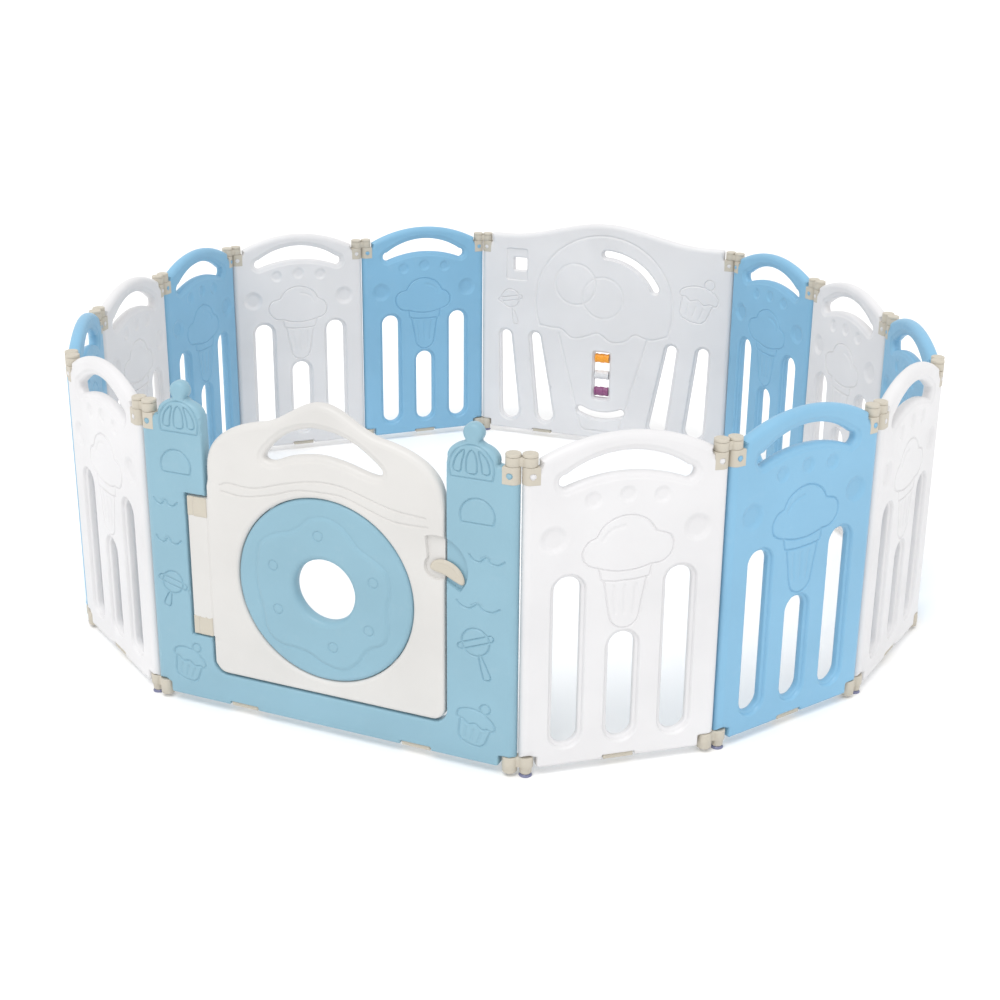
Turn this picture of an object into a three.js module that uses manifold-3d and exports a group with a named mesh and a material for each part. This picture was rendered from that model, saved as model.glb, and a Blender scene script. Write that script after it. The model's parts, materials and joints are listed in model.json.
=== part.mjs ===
// A folding playpen: fourteen moulded panels joined in a closed ring by two-pivot corner links.
// Millimetres, +Z up. The gate runs along X at the front of the ring, on the -Y side, and the
// origin is on the floor in the middle of the bounding box.

import * as THREE from 'three';
import { mergeVertices } from 'three/addons/utils/BufferGeometryUtils.js';
import Module from 'manifold-3d';

const wasm = await Module();
wasm.setup();

// ---------------------------------------------------------------- driving dimensions

const CLEARANCE = 0.4;            // between faces that touch
const GAP = 4;                    // round the door, inside the gate frame
const BITE = 1;                   // how far joined bodies run into each other, and cuts past a face

const THICKNESS = 26;             // of every panel, of the gate and of the door
const SMALL_PITCH = 337;          // between the two pivots of a small panel
const WIDE_PITCH = 713;           // between the two pivots of the gate and of the activity panel
// Which way each panel points, in degrees, going round the ring from the gate.
const HEADINGS = [0, 37, 56, 78.5, 113, 127.5, 137, 183, 223, 222, 275, 283, 300, 328.5];
const GATE = 0;
const ACTIVITY = 7;
const WHITE_PANELS = [1, 3, 5, 9, 11, 13];

const UNDERSIDE = 17;             // bottom edge of the panels, above the floor
const SHOULDER = 579;             // top of the corner brackets; heights near the top count from it

const PIN = { radius: 5, reach: 13, slack: 1 };
const BORE_RADIUS = PIN.radius + 1;
const BRACKET = { radius: THICKNESS / 2 + 0.5, reach: 15, height: 31 };
const LINK = { radius: BRACKET.radius, neck: 8, height: 16, roof: 3, capHeight: 6, capInset: 1.5 };
const LINK_PITCH = 2 * LINK.radius + 1;           // between the two pivots of a corner link
const NOTCH = { width: LINK.radius + 3.5, height: 21.5 };   // at both bottom corners, over the foot
const FOOT = { underside: 7, cupUnderside: 18, cupRadius: 12, cupLip: 2, stemRadius: 6, stemFoot: 14 };
const PAD = { width: 56, height: 9, depth: 20, drop: 2 };

const SMALL = {
  archFoot: 11,                   // where the arch springs from, above the shoulder
  archTop: 49,
  archInset: LINK.radius + 2.5,   // from the pivot to the side of the arch, clear of the link
  handle: { halfSpan: 108, endHeight: -31, endRadius: 12, top: 16, bottom: -22 },
  slotWidth: 48,
  slotPitch: 101,
  slotBottom: 56,
  outerSlotTop: 375,
  middleSlotTop: 261,
};

const TOWER = {
  innerEdge: 116,                 // from the pivot to the door opening
  domeInset: 23,                  // from the pivot to the outer side of the dome
  domeFoot: 4,                    // these heights are above the shoulder
  domeTop: 33,
  knobHeight: 48,
  knobRadius: 18,
};
const OPENING = { sill: 78, radius: 28 };
const TAB = { edge: 72, bottom: 150, fromShoulder: 145 };   // pocket in the hinge-side tower
const DOOR = {
  shoulderFoot: -99,              // these heights are above the shoulder
  shoulderTop: 19,
  shoulderPower: 2.6,             // how square the shoulders are
  humpHeight: 42,
  humpHalfWidth: 118,
  cornerRadius: 25,
  hingeFromTab: 23,               // from the pocket edge to the hinge axis
  tabSlack: 1,                    // between the pocket edge and the tab's corners as they pass it
  hingeSetback: 25.5,             // from the hinge axis to the door's main edge
};
const DOOR_HANDLE = { halfSpan: 102, endHeight: -46, endRadius: 12, top: 11, bottom: -37 };
const HINGE_BLOCK = { height: 38, pinReach: 10 };
const DONUT = { radius: 176, hole: 60, height: 289, thickness: 24 };
const LATCH = {
  fromEdge: 14,                   // from the free edge of the door to the latch pivot
  height: 378,
  hubRadius: 12,
  reach: 54,
  armWidth: 20,
  thickness: 6,
  recess: 8,
  slack: 4,
  pinRadius: 4,
  pinLength: 9,
};

const CREST = { foot: 19, rise: 43, halfWidth: 255 };
const LEANING = {
  low: 50,
  high: 318,
  slots: [
    { top: 294, bottom: 279, topWidth: 30, bottomWidth: 52 },
    { top: 203, bottom: 170, topWidth: 28, bottomWidth: 48 },
  ],
};
const CURVED_SLOT = { radius: 169, centreHeight: 398, from: 92, to: 152, width: 20 };
const SMILE = { radius: 144, centreHeight: 231, from: 245, to: 295, width: 20 };
const PEEPHOLE = { size: 37, fromCentre: 252, height: 500 };
const AXLE = { radius: 2.8, seat: 6 };
const ROLLER = { radius: 13.6, length: 41, height: 210, pitch: 50, bore: AXLE.radius + 0.8 };
const WINDOW = { sideGap: 1.5, endGap: 4.4 };     // round the three rollers

const MATERIALS = {
  white: { color: 0xeeeef0, roughness: 0.42, metalness: 0 },
  doorWhite: { color: 0xe9e7e4, roughness: 0.42, metalness: 0 },
  blue: { color: 0x8dbfe0, roughness: 0.4, metalness: 0 },
  gateBlue: { color: 0x94c1d4, roughness: 0.4, metalness: 0 },
  beige: { color: 0xc9bfae, roughness: 0.5, metalness: 0 },
  rubber: { color: 0x4a4a78, roughness: 0.3, metalness: 0 },
  orange: { color: 0xf0a032, roughness: 0.35, metalness: 0 },
  purple: { color: 0x8e5a80, roughness: 0.35, metalness: 0 },
  steel: { color: 0xb8bcc0, roughness: 0.3, metalness: 1 },
};

// ---------------------------------------------------------------- solids

function solidFrom(geometry) {
  geometry.deleteAttribute('normal');
  geometry.deleteAttribute('uv');
  const merged = mergeVertices(geometry, 1e-4);
  return new wasm.Manifold(new wasm.Mesh({
    numProp: 3,
    vertProperties: new Float32Array(merged.attributes.position.array),
    triVerts: new Uint32Array(merged.index.array),
  }));
}

function meshFrom(name, solid, look) {
  const { numProp, vertProperties, triVerts } = solid.getMesh();
  const positions = new Float32Array((vertProperties.length / numProp) * 3);
  for (let i = 0; i < positions.length / 3; i++) {
    positions.set(vertProperties.subarray(i * numProp, i * numProp + 3), i * 3);
  }
  const geometry = new THREE.BufferGeometry();
  geometry.setAttribute('position', new THREE.BufferAttribute(positions, 3));
  geometry.setIndex(new THREE.BufferAttribute(new Uint32Array(triVerts), 1));
  geometry.computeVertexNormals();
  const mesh = new THREE.Mesh(geometry, new THREE.MeshStandardMaterial(MATERIALS[look]));
  mesh.name = name;
  return mesh;
}

function union(solids) {
  return solids.reduce((whole, next) => whole.add(next));
}

// A plan outline, pulled up from one height to another.
function prism(points, low, high) {
  const shape = new THREE.Shape(points.map(([x, y]) => new THREE.Vector2(x, y)));
  const geometry = new THREE.ExtrudeGeometry(shape, { depth: high - low, bevelEnabled: false });
  return solidFrom(geometry.translate(0, 0, low));
}

// An outline drawn in elevation, x and height, made into a plate between two values of y.
function plate(points, holes, back, front) {
  const toVectors = (outline) => outline.map(([x, z]) => new THREE.Vector2(x, z));
  const shape = new THREE.Shape(toVectors(points));
  shape.holes = holes.map((hole) => new THREE.Path(toVectors(hole)));
  const geometry = new THREE.ExtrudeGeometry(shape, { depth: front - back, bevelEnabled: false });
  geometry.rotateX(Math.PI / 2);
  return solidFrom(geometry.translate(0, front, 0));
}

function panelPlate(points, holes) {
  return plate(points, holes, -THICKNESS / 2, THICKNESS / 2);
}

function arc(x, y, radius, from, to, steps) {
  const points = [];
  for (let i = 0; i <= steps; i++) {
    const angle = THREE.MathUtils.degToRad(from + ((to - from) * i) / steps);
    points.push([x + radius * Math.cos(angle), y + radius * Math.sin(angle)]);
  }
  return points;
}

function circle(x, y, radius, steps) {
  return arc(x, y, radius, 0, 360, steps).slice(0, -1);
}

function rectangle(x0, y0, x1, y1) {
  return [[x0, y0], [x1, y0], [x1, y1], [x0, y1]];
}

// An upward bulging arc between two points at one height, from left to right.
function bow(centre, halfSpan, height, rise, steps) {
  const radius = (halfSpan ** 2 + rise ** 2) / (2 * rise);
  const half = THREE.MathUtils.radToDeg(Math.asin(halfSpan / radius));
  return arc(centre, height + rise - radius, radius, 90 + half, 90 - half, steps);
}

// ---------------------------------------------------------------- outlines shared by the panels

// A curved hand hold: a crescent with round ends.
function handleHole(centre, { halfSpan, endHeight, endRadius, top, bottom }) {
  const z = SHOULDER + endHeight;
  const upper = bow(centre, halfSpan, z + endRadius, top - endHeight - endRadius, 7);
  const lower = bow(centre, halfSpan, z - endRadius, bottom - endHeight + endRadius, 5);
  const right = arc(centre + halfSpan, z, endRadius, 90, -90, 3).slice(1, -1);
  const left = arc(centre - halfSpan, z, endRadius, 270, 90, 3).slice(1, -1);
  return [...upper, ...right, ...lower.reverse(), ...left];
}

function uprightSlot(centre, width, low, high) {
  const r = width / 2;
  return [...arc(centre, high - r, r, 0, 180, 4), ...arc(centre, low + r, r, 180, 360, 4)];
}

// A slot whose middle line is an arc, with round ends.
function arcSlot(centre, { radius, centreHeight, from, to, width }) {
  const end = (angle, turn) => {
    const [[x, z]] = arc(centre, centreHeight, radius, angle, angle, 1);
    return arc(x, z, width / 2, angle + turn, angle + turn + 180, 4).slice(1, -1);
  };
  return [
    ...arc(centre, centreHeight, radius + width / 2, from, to, 7),
    ...end(to, 0),
    ...arc(centre, centreHeight, radius - width / 2, to, from, 7),
    ...end(from, 180),
  ];
}

// The bottom edge of a panel from left to right: foot notches at both ends and a seat for each pad.
function bottomEdge(length, padCentres) {
  const past = BRACKET.radius + BITE;
  const notchTop = UNDERSIDE + NOTCH.height;
  const seats = padCentres.flatMap((x) => {
    const half = PAD.width / 2 + CLEARANCE;
    const roof = UNDERSIDE - PAD.drop + PAD.height;
    return [[x - half, UNDERSIDE], [x - half, roof], [x + half, roof], [x + half, UNDERSIDE]];
  });
  return [
    [-past, notchTop], [NOTCH.width, notchTop], [NOTCH.width, UNDERSIDE],
    ...seats,
    [length - NOTCH.width, UNDERSIDE], [length - NOTCH.width, notchTop], [length + past, notchTop],
  ];
}

// Round upright ends: a panel's plan is a long bar with half-round ends about its pivots.
function roundEnds(length) {
  const r = THICKNESS / 2;
  const plan = [...arc(length, 0, r, -90, 90, 4), ...arc(0, 0, r, 90, 270, 4)];
  const top = TOWER.knobHeight + TOWER.knobRadius + CREST.foot + CREST.rise;
  return prism(plan, UNDERSIDE - BITE, SHOULDER + top);
}

// The bracket at one end. side is 1 where the panel starts, -1 where it ends.
function bracket(x, side) {
  const { radius, reach, height } = BRACKET;
  const back = side > 0 ? [90, 270] : [-90, 90];
  const wrap = [
    ...arc(x, 0, radius, ...back, 4),
    [x + side * reach, -side * radius],
    [x + side * reach, side * radius],
  ];
  return prism(wrap, SHOULDER - height, SHOULDER);
}

// The upper and the lower pin that the two corner links turn on.
function pivotPins(x) {
  const section = circle(x, 0, PIN.radius, 6);
  const notchTop = UNDERSIDE + NOTCH.height;
  const linkRoof = LINK.height - LINK.roof;
  return union([
    prism(section, SHOULDER - BITE, SHOULDER + linkRoof - PIN.slack),
    prism(section, notchTop - PIN.reach, notchTop + BITE),
  ]);
}

// A panel with its ends rounded, its two brackets, and pins at the ends where a link is held.
function finishPanel(body, length, pinned) {
  const whole = union([body.intersect(roundEnds(length)), bracket(0, 1), bracket(length, -1)]);
  return union([whole, ...pinned.map(pivotPins)]);
}

// ---------------------------------------------------------------- panels

function smallPanel() {
  const length = SMALL_PITCH;
  const middle = length / 2;
  const past = BRACKET.radius + BITE;
  const rise = SMALL.archTop - SMALL.archFoot;
  const outline = [
    ...bottomEdge(length, [middle]),
    [length + past, SHOULDER - CLEARANCE],
    [length - SMALL.archInset, SHOULDER - CLEARANCE],
    ...bow(middle, middle - SMALL.archInset, SHOULDER + SMALL.archFoot, rise, 10).reverse(),
    [SMALL.archInset, SHOULDER - CLEARANCE],
    [-past, SHOULDER - CLEARANCE],
  ];
  const slot = (offset, top) => uprightSlot(middle + offset, SMALL.slotWidth, SMALL.slotBottom, top);
  const holes = [
    handleHole(middle, SMALL.handle),
    slot(-SMALL.slotPitch, SMALL.outerSlotTop),
    slot(0, SMALL.middleSlotTop),
    slot(SMALL.slotPitch, SMALL.outerSlotTop),
  ];
  return finishPanel(panelPlate(outline, holes), length, [0, length]).add(padBlock(middle, 0));
}

// A non-slip pad in its seat. lift is the gap left over it, none where it is part of the panel.
function padBlock(centre, lift) {
  const half = PAD.width / 2;
  const roof = UNDERSIDE - PAD.drop + PAD.height - lift;
  const outline = rectangle(centre - half, UNDERSIDE - PAD.drop, centre + half, roof);
  return plate(outline, [], -PAD.depth / 2, PAD.depth / 2);
}

function widePadCentres() {
  const fromEnd = WIDE_PITCH / 4;
  return [fromEnd, WIDE_PITCH - fromEnd];
}

// One tower's top, a dome with a round knob on it, from its inner side to its outer side.
function towerTop(inner, outer) {
  const centre = (inner + outer) / 2;
  const across = outer - centre;
  const domeFoot = SHOULDER + TOWER.domeFoot;
  const rise = TOWER.domeTop - TOWER.domeFoot;
  const turn = across > 0 ? [225, -45] : [-45, 225];
  const dome = (from, to) => arc(0, 0, 1, from, to, 4)
    .map(([x, z]) => [centre + x * across, domeFoot + z * rise]);
  const knob = arc(centre, SHOULDER + TOWER.knobHeight, TOWER.knobRadius, ...turn, 9);
  return [[inner, domeFoot], ...dome(180, 125).slice(1), ...knob, ...dome(55, 0).slice(0, -1),
    [outer, domeFoot]];
}

// The ring opens between its last link and this frame, so the frame has pins at one end only.
function gateFrame() {
  const length = WIDE_PITCH;
  const past = BRACKET.radius + BITE;
  const right = length - TOWER.innerEdge;
  const tabTop = SHOULDER - TAB.fromShoulder;
  const { sill, radius } = OPENING;
  const outline = [
    ...bottomEdge(length, widePadCentres()),
    [length + past, SHOULDER - CLEARANCE],
    [length - TOWER.domeInset, SHOULDER - CLEARANCE],
    ...towerTop(right, length - TOWER.domeInset).reverse(),
    ...arc(right - radius, sill + radius, radius, 0, -90, 5),
    ...arc(TOWER.innerEdge + radius, sill + radius, radius, 270, 180, 5),
    [TOWER.innerEdge, TAB.bottom], [TAB.edge, TAB.bottom],
    [TAB.edge, tabTop], [TOWER.innerEdge, tabTop],
    ...towerTop(TOWER.innerEdge, TOWER.domeInset),
    [TOWER.domeInset, SHOULDER - CLEARANCE],
    [-past, SHOULDER - CLEARANCE],
  ];
  const reach = HINGE_BLOCK.pinReach + GAP;
  const bore = (low, high) => prism(circle(doorEdges().hinge, 0, BORE_RADIUS, 8), low, high);
  return finishPanel(panelPlate(outline, []), length, [length])
    .subtract(bore(tabTop - BITE, tabTop + reach))
    .subtract(bore(TAB.bottom - reach, TAB.bottom + BITE))
    .subtract(latchRecess());
}

function activityPanel() {
  const length = WIDE_PITCH;
  const middle = length / 2;
  const past = BRACKET.radius + BITE;
  const crestFoot = SHOULDER + CREST.foot;
  const crest = [];
  const steps = 14;
  for (let i = 0; i <= steps; i++) {
    const share = 1 - (2 * i) / steps;
    const rise = CREST.rise * Math.cos((share * Math.PI) / 2);
    crest.push([middle + share * CREST.halfWidth, crestFoot + rise]);
  }
  const outline = [
    ...bottomEdge(length, widePadCentres()),
    [length + past, SHOULDER - CLEARANCE],
    [length - SMALL.archInset, SHOULDER - CLEARANCE],
    [length - SMALL.archInset, crestFoot],
    ...crest,
    [SMALL.archInset, crestFoot],
    [SMALL.archInset, SHOULDER - CLEARANCE],
    [-past, SHOULDER - CLEARANCE],
  ];
  const peep = middle + PEEPHOLE.fromCentre;
  const half = PEEPHOLE.size / 2;
  const holes = [
    ...LEANING.slots.flatMap((slot) => [leaningSlot(middle, slot, -1), leaningSlot(middle, slot, 1)]),
    arcSlot(middle, CURVED_SLOT),
    arcSlot(middle, SMILE),
    rectangle(peep - half, PEEPHOLE.height, peep + half, PEEPHOLE.height + PEEPHOLE.size),
    rollerWindow(middle),
  ];
  const seats = rollerHeights().map((height) => (
    axleSolid(middle, height, AXLE.radius + CLEARANCE, CLEARANCE)
  ));
  return finishPanel(panelPlate(outline, holes), length, [0, length]).subtract(union(seats));
}

// A slot that is wider at the bottom and leans outwards going up.
function leaningSlot(middle, { top, bottom, topWidth, bottomWidth }, side) {
  const upper = topWidth / 2;
  const lower = bottomWidth / 2;
  return [
    ...arc(middle + side * top, LEANING.high - upper, upper, 0, 180, 5),
    ...arc(middle + side * bottom, LEANING.low + lower, lower, 180, 360, 5),
  ];
}

// ---------------------------------------------------------------- rollers in the activity panel

function alongX(points, from, to) {
  const shape = new THREE.Shape(points.map(([y, z]) => new THREE.Vector2(y, z)));
  const geometry = new THREE.ExtrudeGeometry(shape, { depth: to - from, bevelEnabled: false });
  geometry.rotateX(Math.PI / 2);
  geometry.rotateZ(Math.PI / 2);
  return solidFrom(geometry.translate(from, 0, 0));
}

function rollerHeights() {
  return [1, 0, -1].map((step) => ROLLER.height + step * ROLLER.pitch);
}

function rollerWindow(middle) {
  const halfWidth = ROLLER.length / 2 + WINDOW.sideGap;
  const halfHeight = ROLLER.pitch + ROLLER.radius + WINDOW.endGap;
  const { height } = ROLLER;
  return rectangle(middle - halfWidth, height - halfHeight, middle + halfWidth, height + halfHeight);
}

function axleSolid(middle, height, radius, extra) {
  const half = ROLLER.length / 2 + WINDOW.sideGap + AXLE.seat + extra;
  return alongX(circle(0, height, radius, 8), middle - half, middle + half);
}

function rollerSolid(middle, height) {
  const half = ROLLER.length / 2;
  const drum = alongX(circle(0, height, ROLLER.radius, 16), middle - half, middle + half);
  const bore = circle(0, height, ROLLER.bore, 8);
  return drum.subtract(alongX(bore, middle - half - BITE, middle + half + BITE));
}

// ---------------------------------------------------------------- door

function doorEdges() {
  const hinge = TAB.edge + DOOR.hingeFromTab;
  const cornerReach = DOOR.hingeFromTab - DOOR.tabSlack;
  return {
    hinge,
    left: hinge + DOOR.hingeSetback,
    right: WIDE_PITCH - TOWER.innerEdge - GAP,
    bottom: OPENING.sill + GAP,
    tab: hinge - Math.sqrt(cornerReach ** 2 - (THICKNESS / 2) ** 2),
    tabBottom: TAB.bottom + GAP,
    tabTop: SHOULDER - TAB.fromShoulder - GAP,
  };
}

function doorSolid() {
  const { left, right, bottom, tab, tabBottom, tabTop } = doorEdges();
  const middle = (left + right) / 2;
  const half = (right - left) / 2;
  const r = DOOR.cornerRadius;
  const shoulderRise = DOOR.shoulderTop - DOOR.shoulderFoot;
  const top = [];
  const steps = 24;
  for (let i = 0; i <= steps; i++) {
    const share = Math.cos((i / steps) * Math.PI);
    const x = middle + half * share;
    const drop = (1 - Math.abs(share) ** DOOR.shoulderPower) ** (1 / DOOR.shoulderPower);
    const hump = Math.min(1, Math.abs(x - middle) / DOOR.humpHalfWidth);
    const z = SHOULDER + DOOR.shoulderFoot + shoulderRise * drop;
    top.push([x, z + DOOR.humpHeight * Math.cos((hump * Math.PI) / 2) ** 2]);
  }
  const outline = [
    ...arc(left + r, bottom + r, r, 180, 270, 6),
    ...arc(right - r, bottom + r, r, 270, 360, 6),
    ...top,
    [left, tabTop], [tab, tabTop], [tab, tabBottom], [left, tabBottom],
  ];
  const donutSeat = circle(middle, DONUT.height, DONUT.radius + CLEARANCE, 32);
  const blockSeat = (low) => rectangle(tab - BITE, low, left - CLEARANCE, low + HINGE_BLOCK.height);
  const depth = THICKNESS / 2 + BITE;
  const cut = (points) => plate(points, [], -depth, depth);
  return panelPlate(outline, [handleHole(middle, DOOR_HANDLE), donutSeat])
    .subtract(cut(blockSeat(tabTop - HINGE_BLOCK.height)))
    .subtract(cut(blockSeat(tabBottom)))
    .subtract(latchRecess())
    .subtract(latchPinHole());
}

function donutSolid() {
  const { left, right } = doorEdges();
  const middle = (left + right) / 2;
  const { radius, hole, height, thickness } = DONUT;
  const outer = circle(middle, height, radius, 32);
  return plate(outer, [circle(middle, height, hole, 20)], -thickness / 2, thickness / 2);
}

// A hinge block fills one corner of the door's tab; its pin turns in the gate frame.
function hingeBlock(upper) {
  const { left, tab, tabTop, tabBottom, hinge } = doorEdges();
  const depth = THICKNESS / 2;
  const height = HINGE_BLOCK.height - CLEARANCE;
  const low = upper ? tabTop - height : tabBottom;
  const outline = rectangle(tab, low, left - 2 * CLEARANCE, low + height);
  const reach = HINGE_BLOCK.pinReach + GAP / 2;
  const pinLow = upper ? tabTop - BITE : tabBottom - reach;
  const pin = prism(circle(hinge, 0, PIN.radius, 8), pinLow, pinLow + reach + BITE);
  return plate(outline, [], -depth, depth).add(pin);
}

// ---------------------------------------------------------------- latch

function latchPivot() {
  return [doorEdges().right - LATCH.fromEdge, LATCH.height];
}

// The lever is a hub with a bowed arm that reaches over the gate's tower.
function latchLever() {
  const [x, z] = latchPivot();
  const { hubRadius, reach, armWidth, thickness } = LATCH;
  const tip = armWidth / 3;
  const outline = [
    ...arc(x, z, hubRadius, 75, 285, 8),
    ...bow(x + reach / 2, reach / 2, z - hubRadius, armWidth / 4, 5).slice(1, -1),
    ...arc(x + reach - tip, z - hubRadius + tip, tip, -60, 80, 4),
    [x + reach * 0.6, z + armWidth * 0.8],
    [x + reach * 0.25, z + armWidth * 0.85],
  ];
  const front = -THICKNESS / 2;
  return plate(outline, [], front, front + thickness).subtract(latchPinHole());
}

// The sunk seat of the lever, in the door and in the tower, with room for the arm to turn up.
function latchRecess() {
  const [x, z] = latchPivot();
  const { hubRadius, armWidth, slack, reach, recess } = LATCH;
  const front = -THICKNESS / 2;
  const swept = [
    ...arc(x, z, hubRadius + armWidth / 2 + slack / 2, 140, 320, 6),
    ...arc(x, z, reach + slack, -20, 112, 10),
  ];
  return plate(swept, [], front - BITE, front + recess);
}

function latchPinHole() {
  const [x, z] = latchPivot();
  const hole = circle(x, z, LATCH.pinRadius + CLEARANCE, 10);
  const front = -THICKNESS / 2;
  return plate(hole, [], front - BITE, front + LATCH.recess + LATCH.pinLength);
}

function latchPin() {
  const [x, z] = latchPivot();
  const front = -THICKNESS / 2;
  const pin = circle(x, z, LATCH.pinRadius, 10);
  return plate(pin, [], front, front + LATCH.recess + LATCH.pinLength - CLEARANCE);
}

// ---------------------------------------------------------------- corner links

// A figure of eight about the two pivots, joined by a neck.
function linkPlan() {
  const waist = THREE.MathUtils.radToDeg(Math.asin(LINK.neck / LINK.radius));
  const half = LINK_PITCH / 2;
  return [
    ...arc(-half, 0, LINK.radius, waist, 360 - waist, 7),
    ...arc(half, 0, LINK.radius, 180 + waist, 540 - waist, 7),
  ];
}

function linkBores(low, high) {
  const half = LINK_PITCH / 2;
  return union([-half, half].map((x) => prism(circle(x, 0, BORE_RADIUS, 6), low, high)));
}

function hingeLink() {
  const low = SHOULDER + CLEARANCE;
  const high = low + LINK.height;
  const half = LINK_PITCH / 2;
  const caps = [-half, half].map((x) => (
    prism(circle(x, 0, LINK.radius - LINK.capInset, 8), high - BITE, high + LINK.capHeight)
  ));
  return union([prism(linkPlan(), low, high), ...caps]).subtract(linkBores(low - BITE, high - LINK.roof));
}

// The foot link stands on one suction cup, under one of its two pivots. side says which.
function footLink(side) {
  const high = UNDERSIDE + NOTCH.height - CLEARANCE;
  const half = LINK_PITCH / 2;
  const { underside, cupUnderside, cupRadius, cupLip, stemRadius, stemFoot } = FOOT;
  const profile = [
    [0, 0], [cupRadius, 0], [cupRadius, cupLip], [stemRadius, stemFoot],
    [stemRadius, cupUnderside + BITE], [0, cupUnderside + BITE],
  ];
  const cup = new THREE.LatheGeometry(profile.map(([r, z]) => new THREE.Vector2(r, z)), 8);
  cup.rotateX(Math.PI / 2);
  return union([
    prism(linkPlan(), cupUnderside, high),
    prism(circle(-side * half, 0, LINK.radius - LINK.capInset, 8), underside, cupUnderside + BITE),
    solidFrom(cup.translate(side * half, 0, 0)),
  ]).subtract(linkBores(cupUnderside + LINK.roof, high + BITE));
}

// ---------------------------------------------------------------- the ring in plan

function panelLength(index) {
  return index === GATE || index === ACTIVITY ? WIDE_PITCH : SMALL_PITCH;
}

// Turns every panel but the gate a little, by the least amount, until the ring closes.
function closedHeadings() {
  const headings = HEADINGS.map(THREE.MathUtils.degToRad);
  const count = headings.length;
  const linkHeading = (k) => {
    const next = k + 1 < count ? headings[k + 1] : headings[0] + 2 * Math.PI;
    return (headings[k] + next) / 2;
  };
  for (let pass = 0; pass < 20; pass++) {
    const miss = new THREE.Vector2();
    const slopes = headings.map(() => new THREE.Vector2());
    for (let k = 0; k < count; k++) {
      const pieces = [[panelLength(k), headings[k], [[k, 1]]],
        [LINK_PITCH, linkHeading(k), [[k, 0.5], [(k + 1) % count, 0.5]]]];
      for (const [length, heading, owners] of pieces) {
        miss.x += length * Math.cos(heading);
        miss.y += length * Math.sin(heading);
        for (const [owner, share] of owners) {
          slopes[owner].x -= share * length * Math.sin(heading);
          slopes[owner].y += share * length * Math.cos(heading);
        }
      }
    }
    slopes[GATE].set(0, 0);
    const xx = slopes.reduce((sum, s) => sum + s.x * s.x, 0);
    const yy = slopes.reduce((sum, s) => sum + s.y * s.y, 0);
    const xy = slopes.reduce((sum, s) => sum + s.x * s.y, 0);
    const det = xx * yy - xy * xy;
    const a = (yy * miss.x - xy * miss.y) / det;
    const b = (xx * miss.y - xy * miss.x) / det;
    slopes.forEach((slope, k) => { headings[k] -= slope.x * a + slope.y * b; });
  }
  return { headings, linkHeading };
}

function ringPlan() {
  const { headings, linkHeading } = closedHeadings();
  const panels = [];
  const links = [];
  const at = new THREE.Vector2(-WIDE_PITCH / 2, 0);
  const advance = (length, heading) => {
    at.x += length * Math.cos(heading);
    at.y += length * Math.sin(heading);
  };
  headings.forEach((heading, k) => {
    panels.push({ x: at.x, y: at.y, heading });
    advance(panelLength(k), heading);
    const turned = linkHeading(k);
    advance(LINK_PITCH / 2, turned);
    links.push({ x: at.x, y: at.y, heading: turned });
    advance(LINK_PITCH / 2, turned);
  });
  return { panels, links };
}

// ---------------------------------------------------------------- assembly

function placed({ x, y, heading }, meshes) {
  const group = new THREE.Group();
  group.position.set(x, y, 0);
  group.rotation.z = heading;
  group.add(...meshes);
  return group;
}

function gateMeshes() {
  return [
    meshFrom('gate_frame', gateFrame(), 'gateBlue'),
    meshFrom('gate_door', doorSolid(), 'doorWhite'),
    meshFrom('door_donut', donutSolid(), 'gateBlue'),
    meshFrom('door_hinge_upper', hingeBlock(true), 'beige'),
    meshFrom('door_hinge_lower', hingeBlock(false), 'beige'),
    meshFrom('latch_lever', latchLever(), 'beige'),
    meshFrom('latch_pin', latchPin(), 'doorWhite'),
    ...widePadCentres().map((x, i) => meshFrom(`gate_pad_${i + 1}`, padBlock(x, CLEARANCE), 'beige')),
  ];
}

function activityMeshes() {
  const middle = WIDE_PITCH / 2;
  const looks = ['orange', 'white', 'purple'];
  return [
    meshFrom('activity_panel', activityPanel(), 'white'),
    ...rollerHeights().flatMap((height, i) => [
      meshFrom(`roller_${looks[i]}`, rollerSolid(middle, height), looks[i]),
      meshFrom(`roller_axle_${i + 1}`, axleSolid(middle, height, AXLE.radius, 0), 'steel'),
    ]),
    ...widePadCentres().map((x, i) => meshFrom(`activity_pad_${i + 1}`, padBlock(x, CLEARANCE), 'beige')),
  ];
}

function panelMeshes(k, small) {
  if (k === GATE) return gateMeshes();
  if (k === ACTIVITY) return activityMeshes();
  return [meshFrom(`panel_${k + 1}`, small, WHITE_PANELS.includes(k) ? 'white' : 'blue')];
}

// Link 1 is the corner between the last panel and the gate, link 2 the one after the gate.
function linkNumber(k) {
  return ((k + 1) % HEADINGS.length) + 1;
}

function playpen() {
  const { panels, links } = ringPlan();
  const small = smallPanel();
  const hinge = hingeLink();
  const feet = { [-1]: footLink(-1), 1: footLink(1) };
  const ring = new THREE.Group();
  panels.forEach((place, k) => ring.add(placed(place, panelMeshes(k, small))));
  links.forEach((place, k) => {
    const number = linkNumber(k);
    const side = k < ACTIVITY ? 1 : -1;
    ring.add(placed(place, [
      meshFrom(`hinge_link_${number}`, hinge, 'beige'),
      meshFrom(`foot_link_${number}`, feet[side], 'beige'),
    ]));
  });
  const box = new THREE.Box3().setFromObject(ring, true);
  const centre = box.getCenter(new THREE.Vector3());
  ring.position.set(-centre.x, -centre.y, -box.min.z);
  const whole = new THREE.Group();
  whole.add(ring);
  return whole;
}

export default playpen();
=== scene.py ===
import json
import math

import bmesh
import bpy
import numpy as np
from mathutils import Matrix, Vector
from mathutils.geometry import delaunay_2d_cdt

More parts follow.
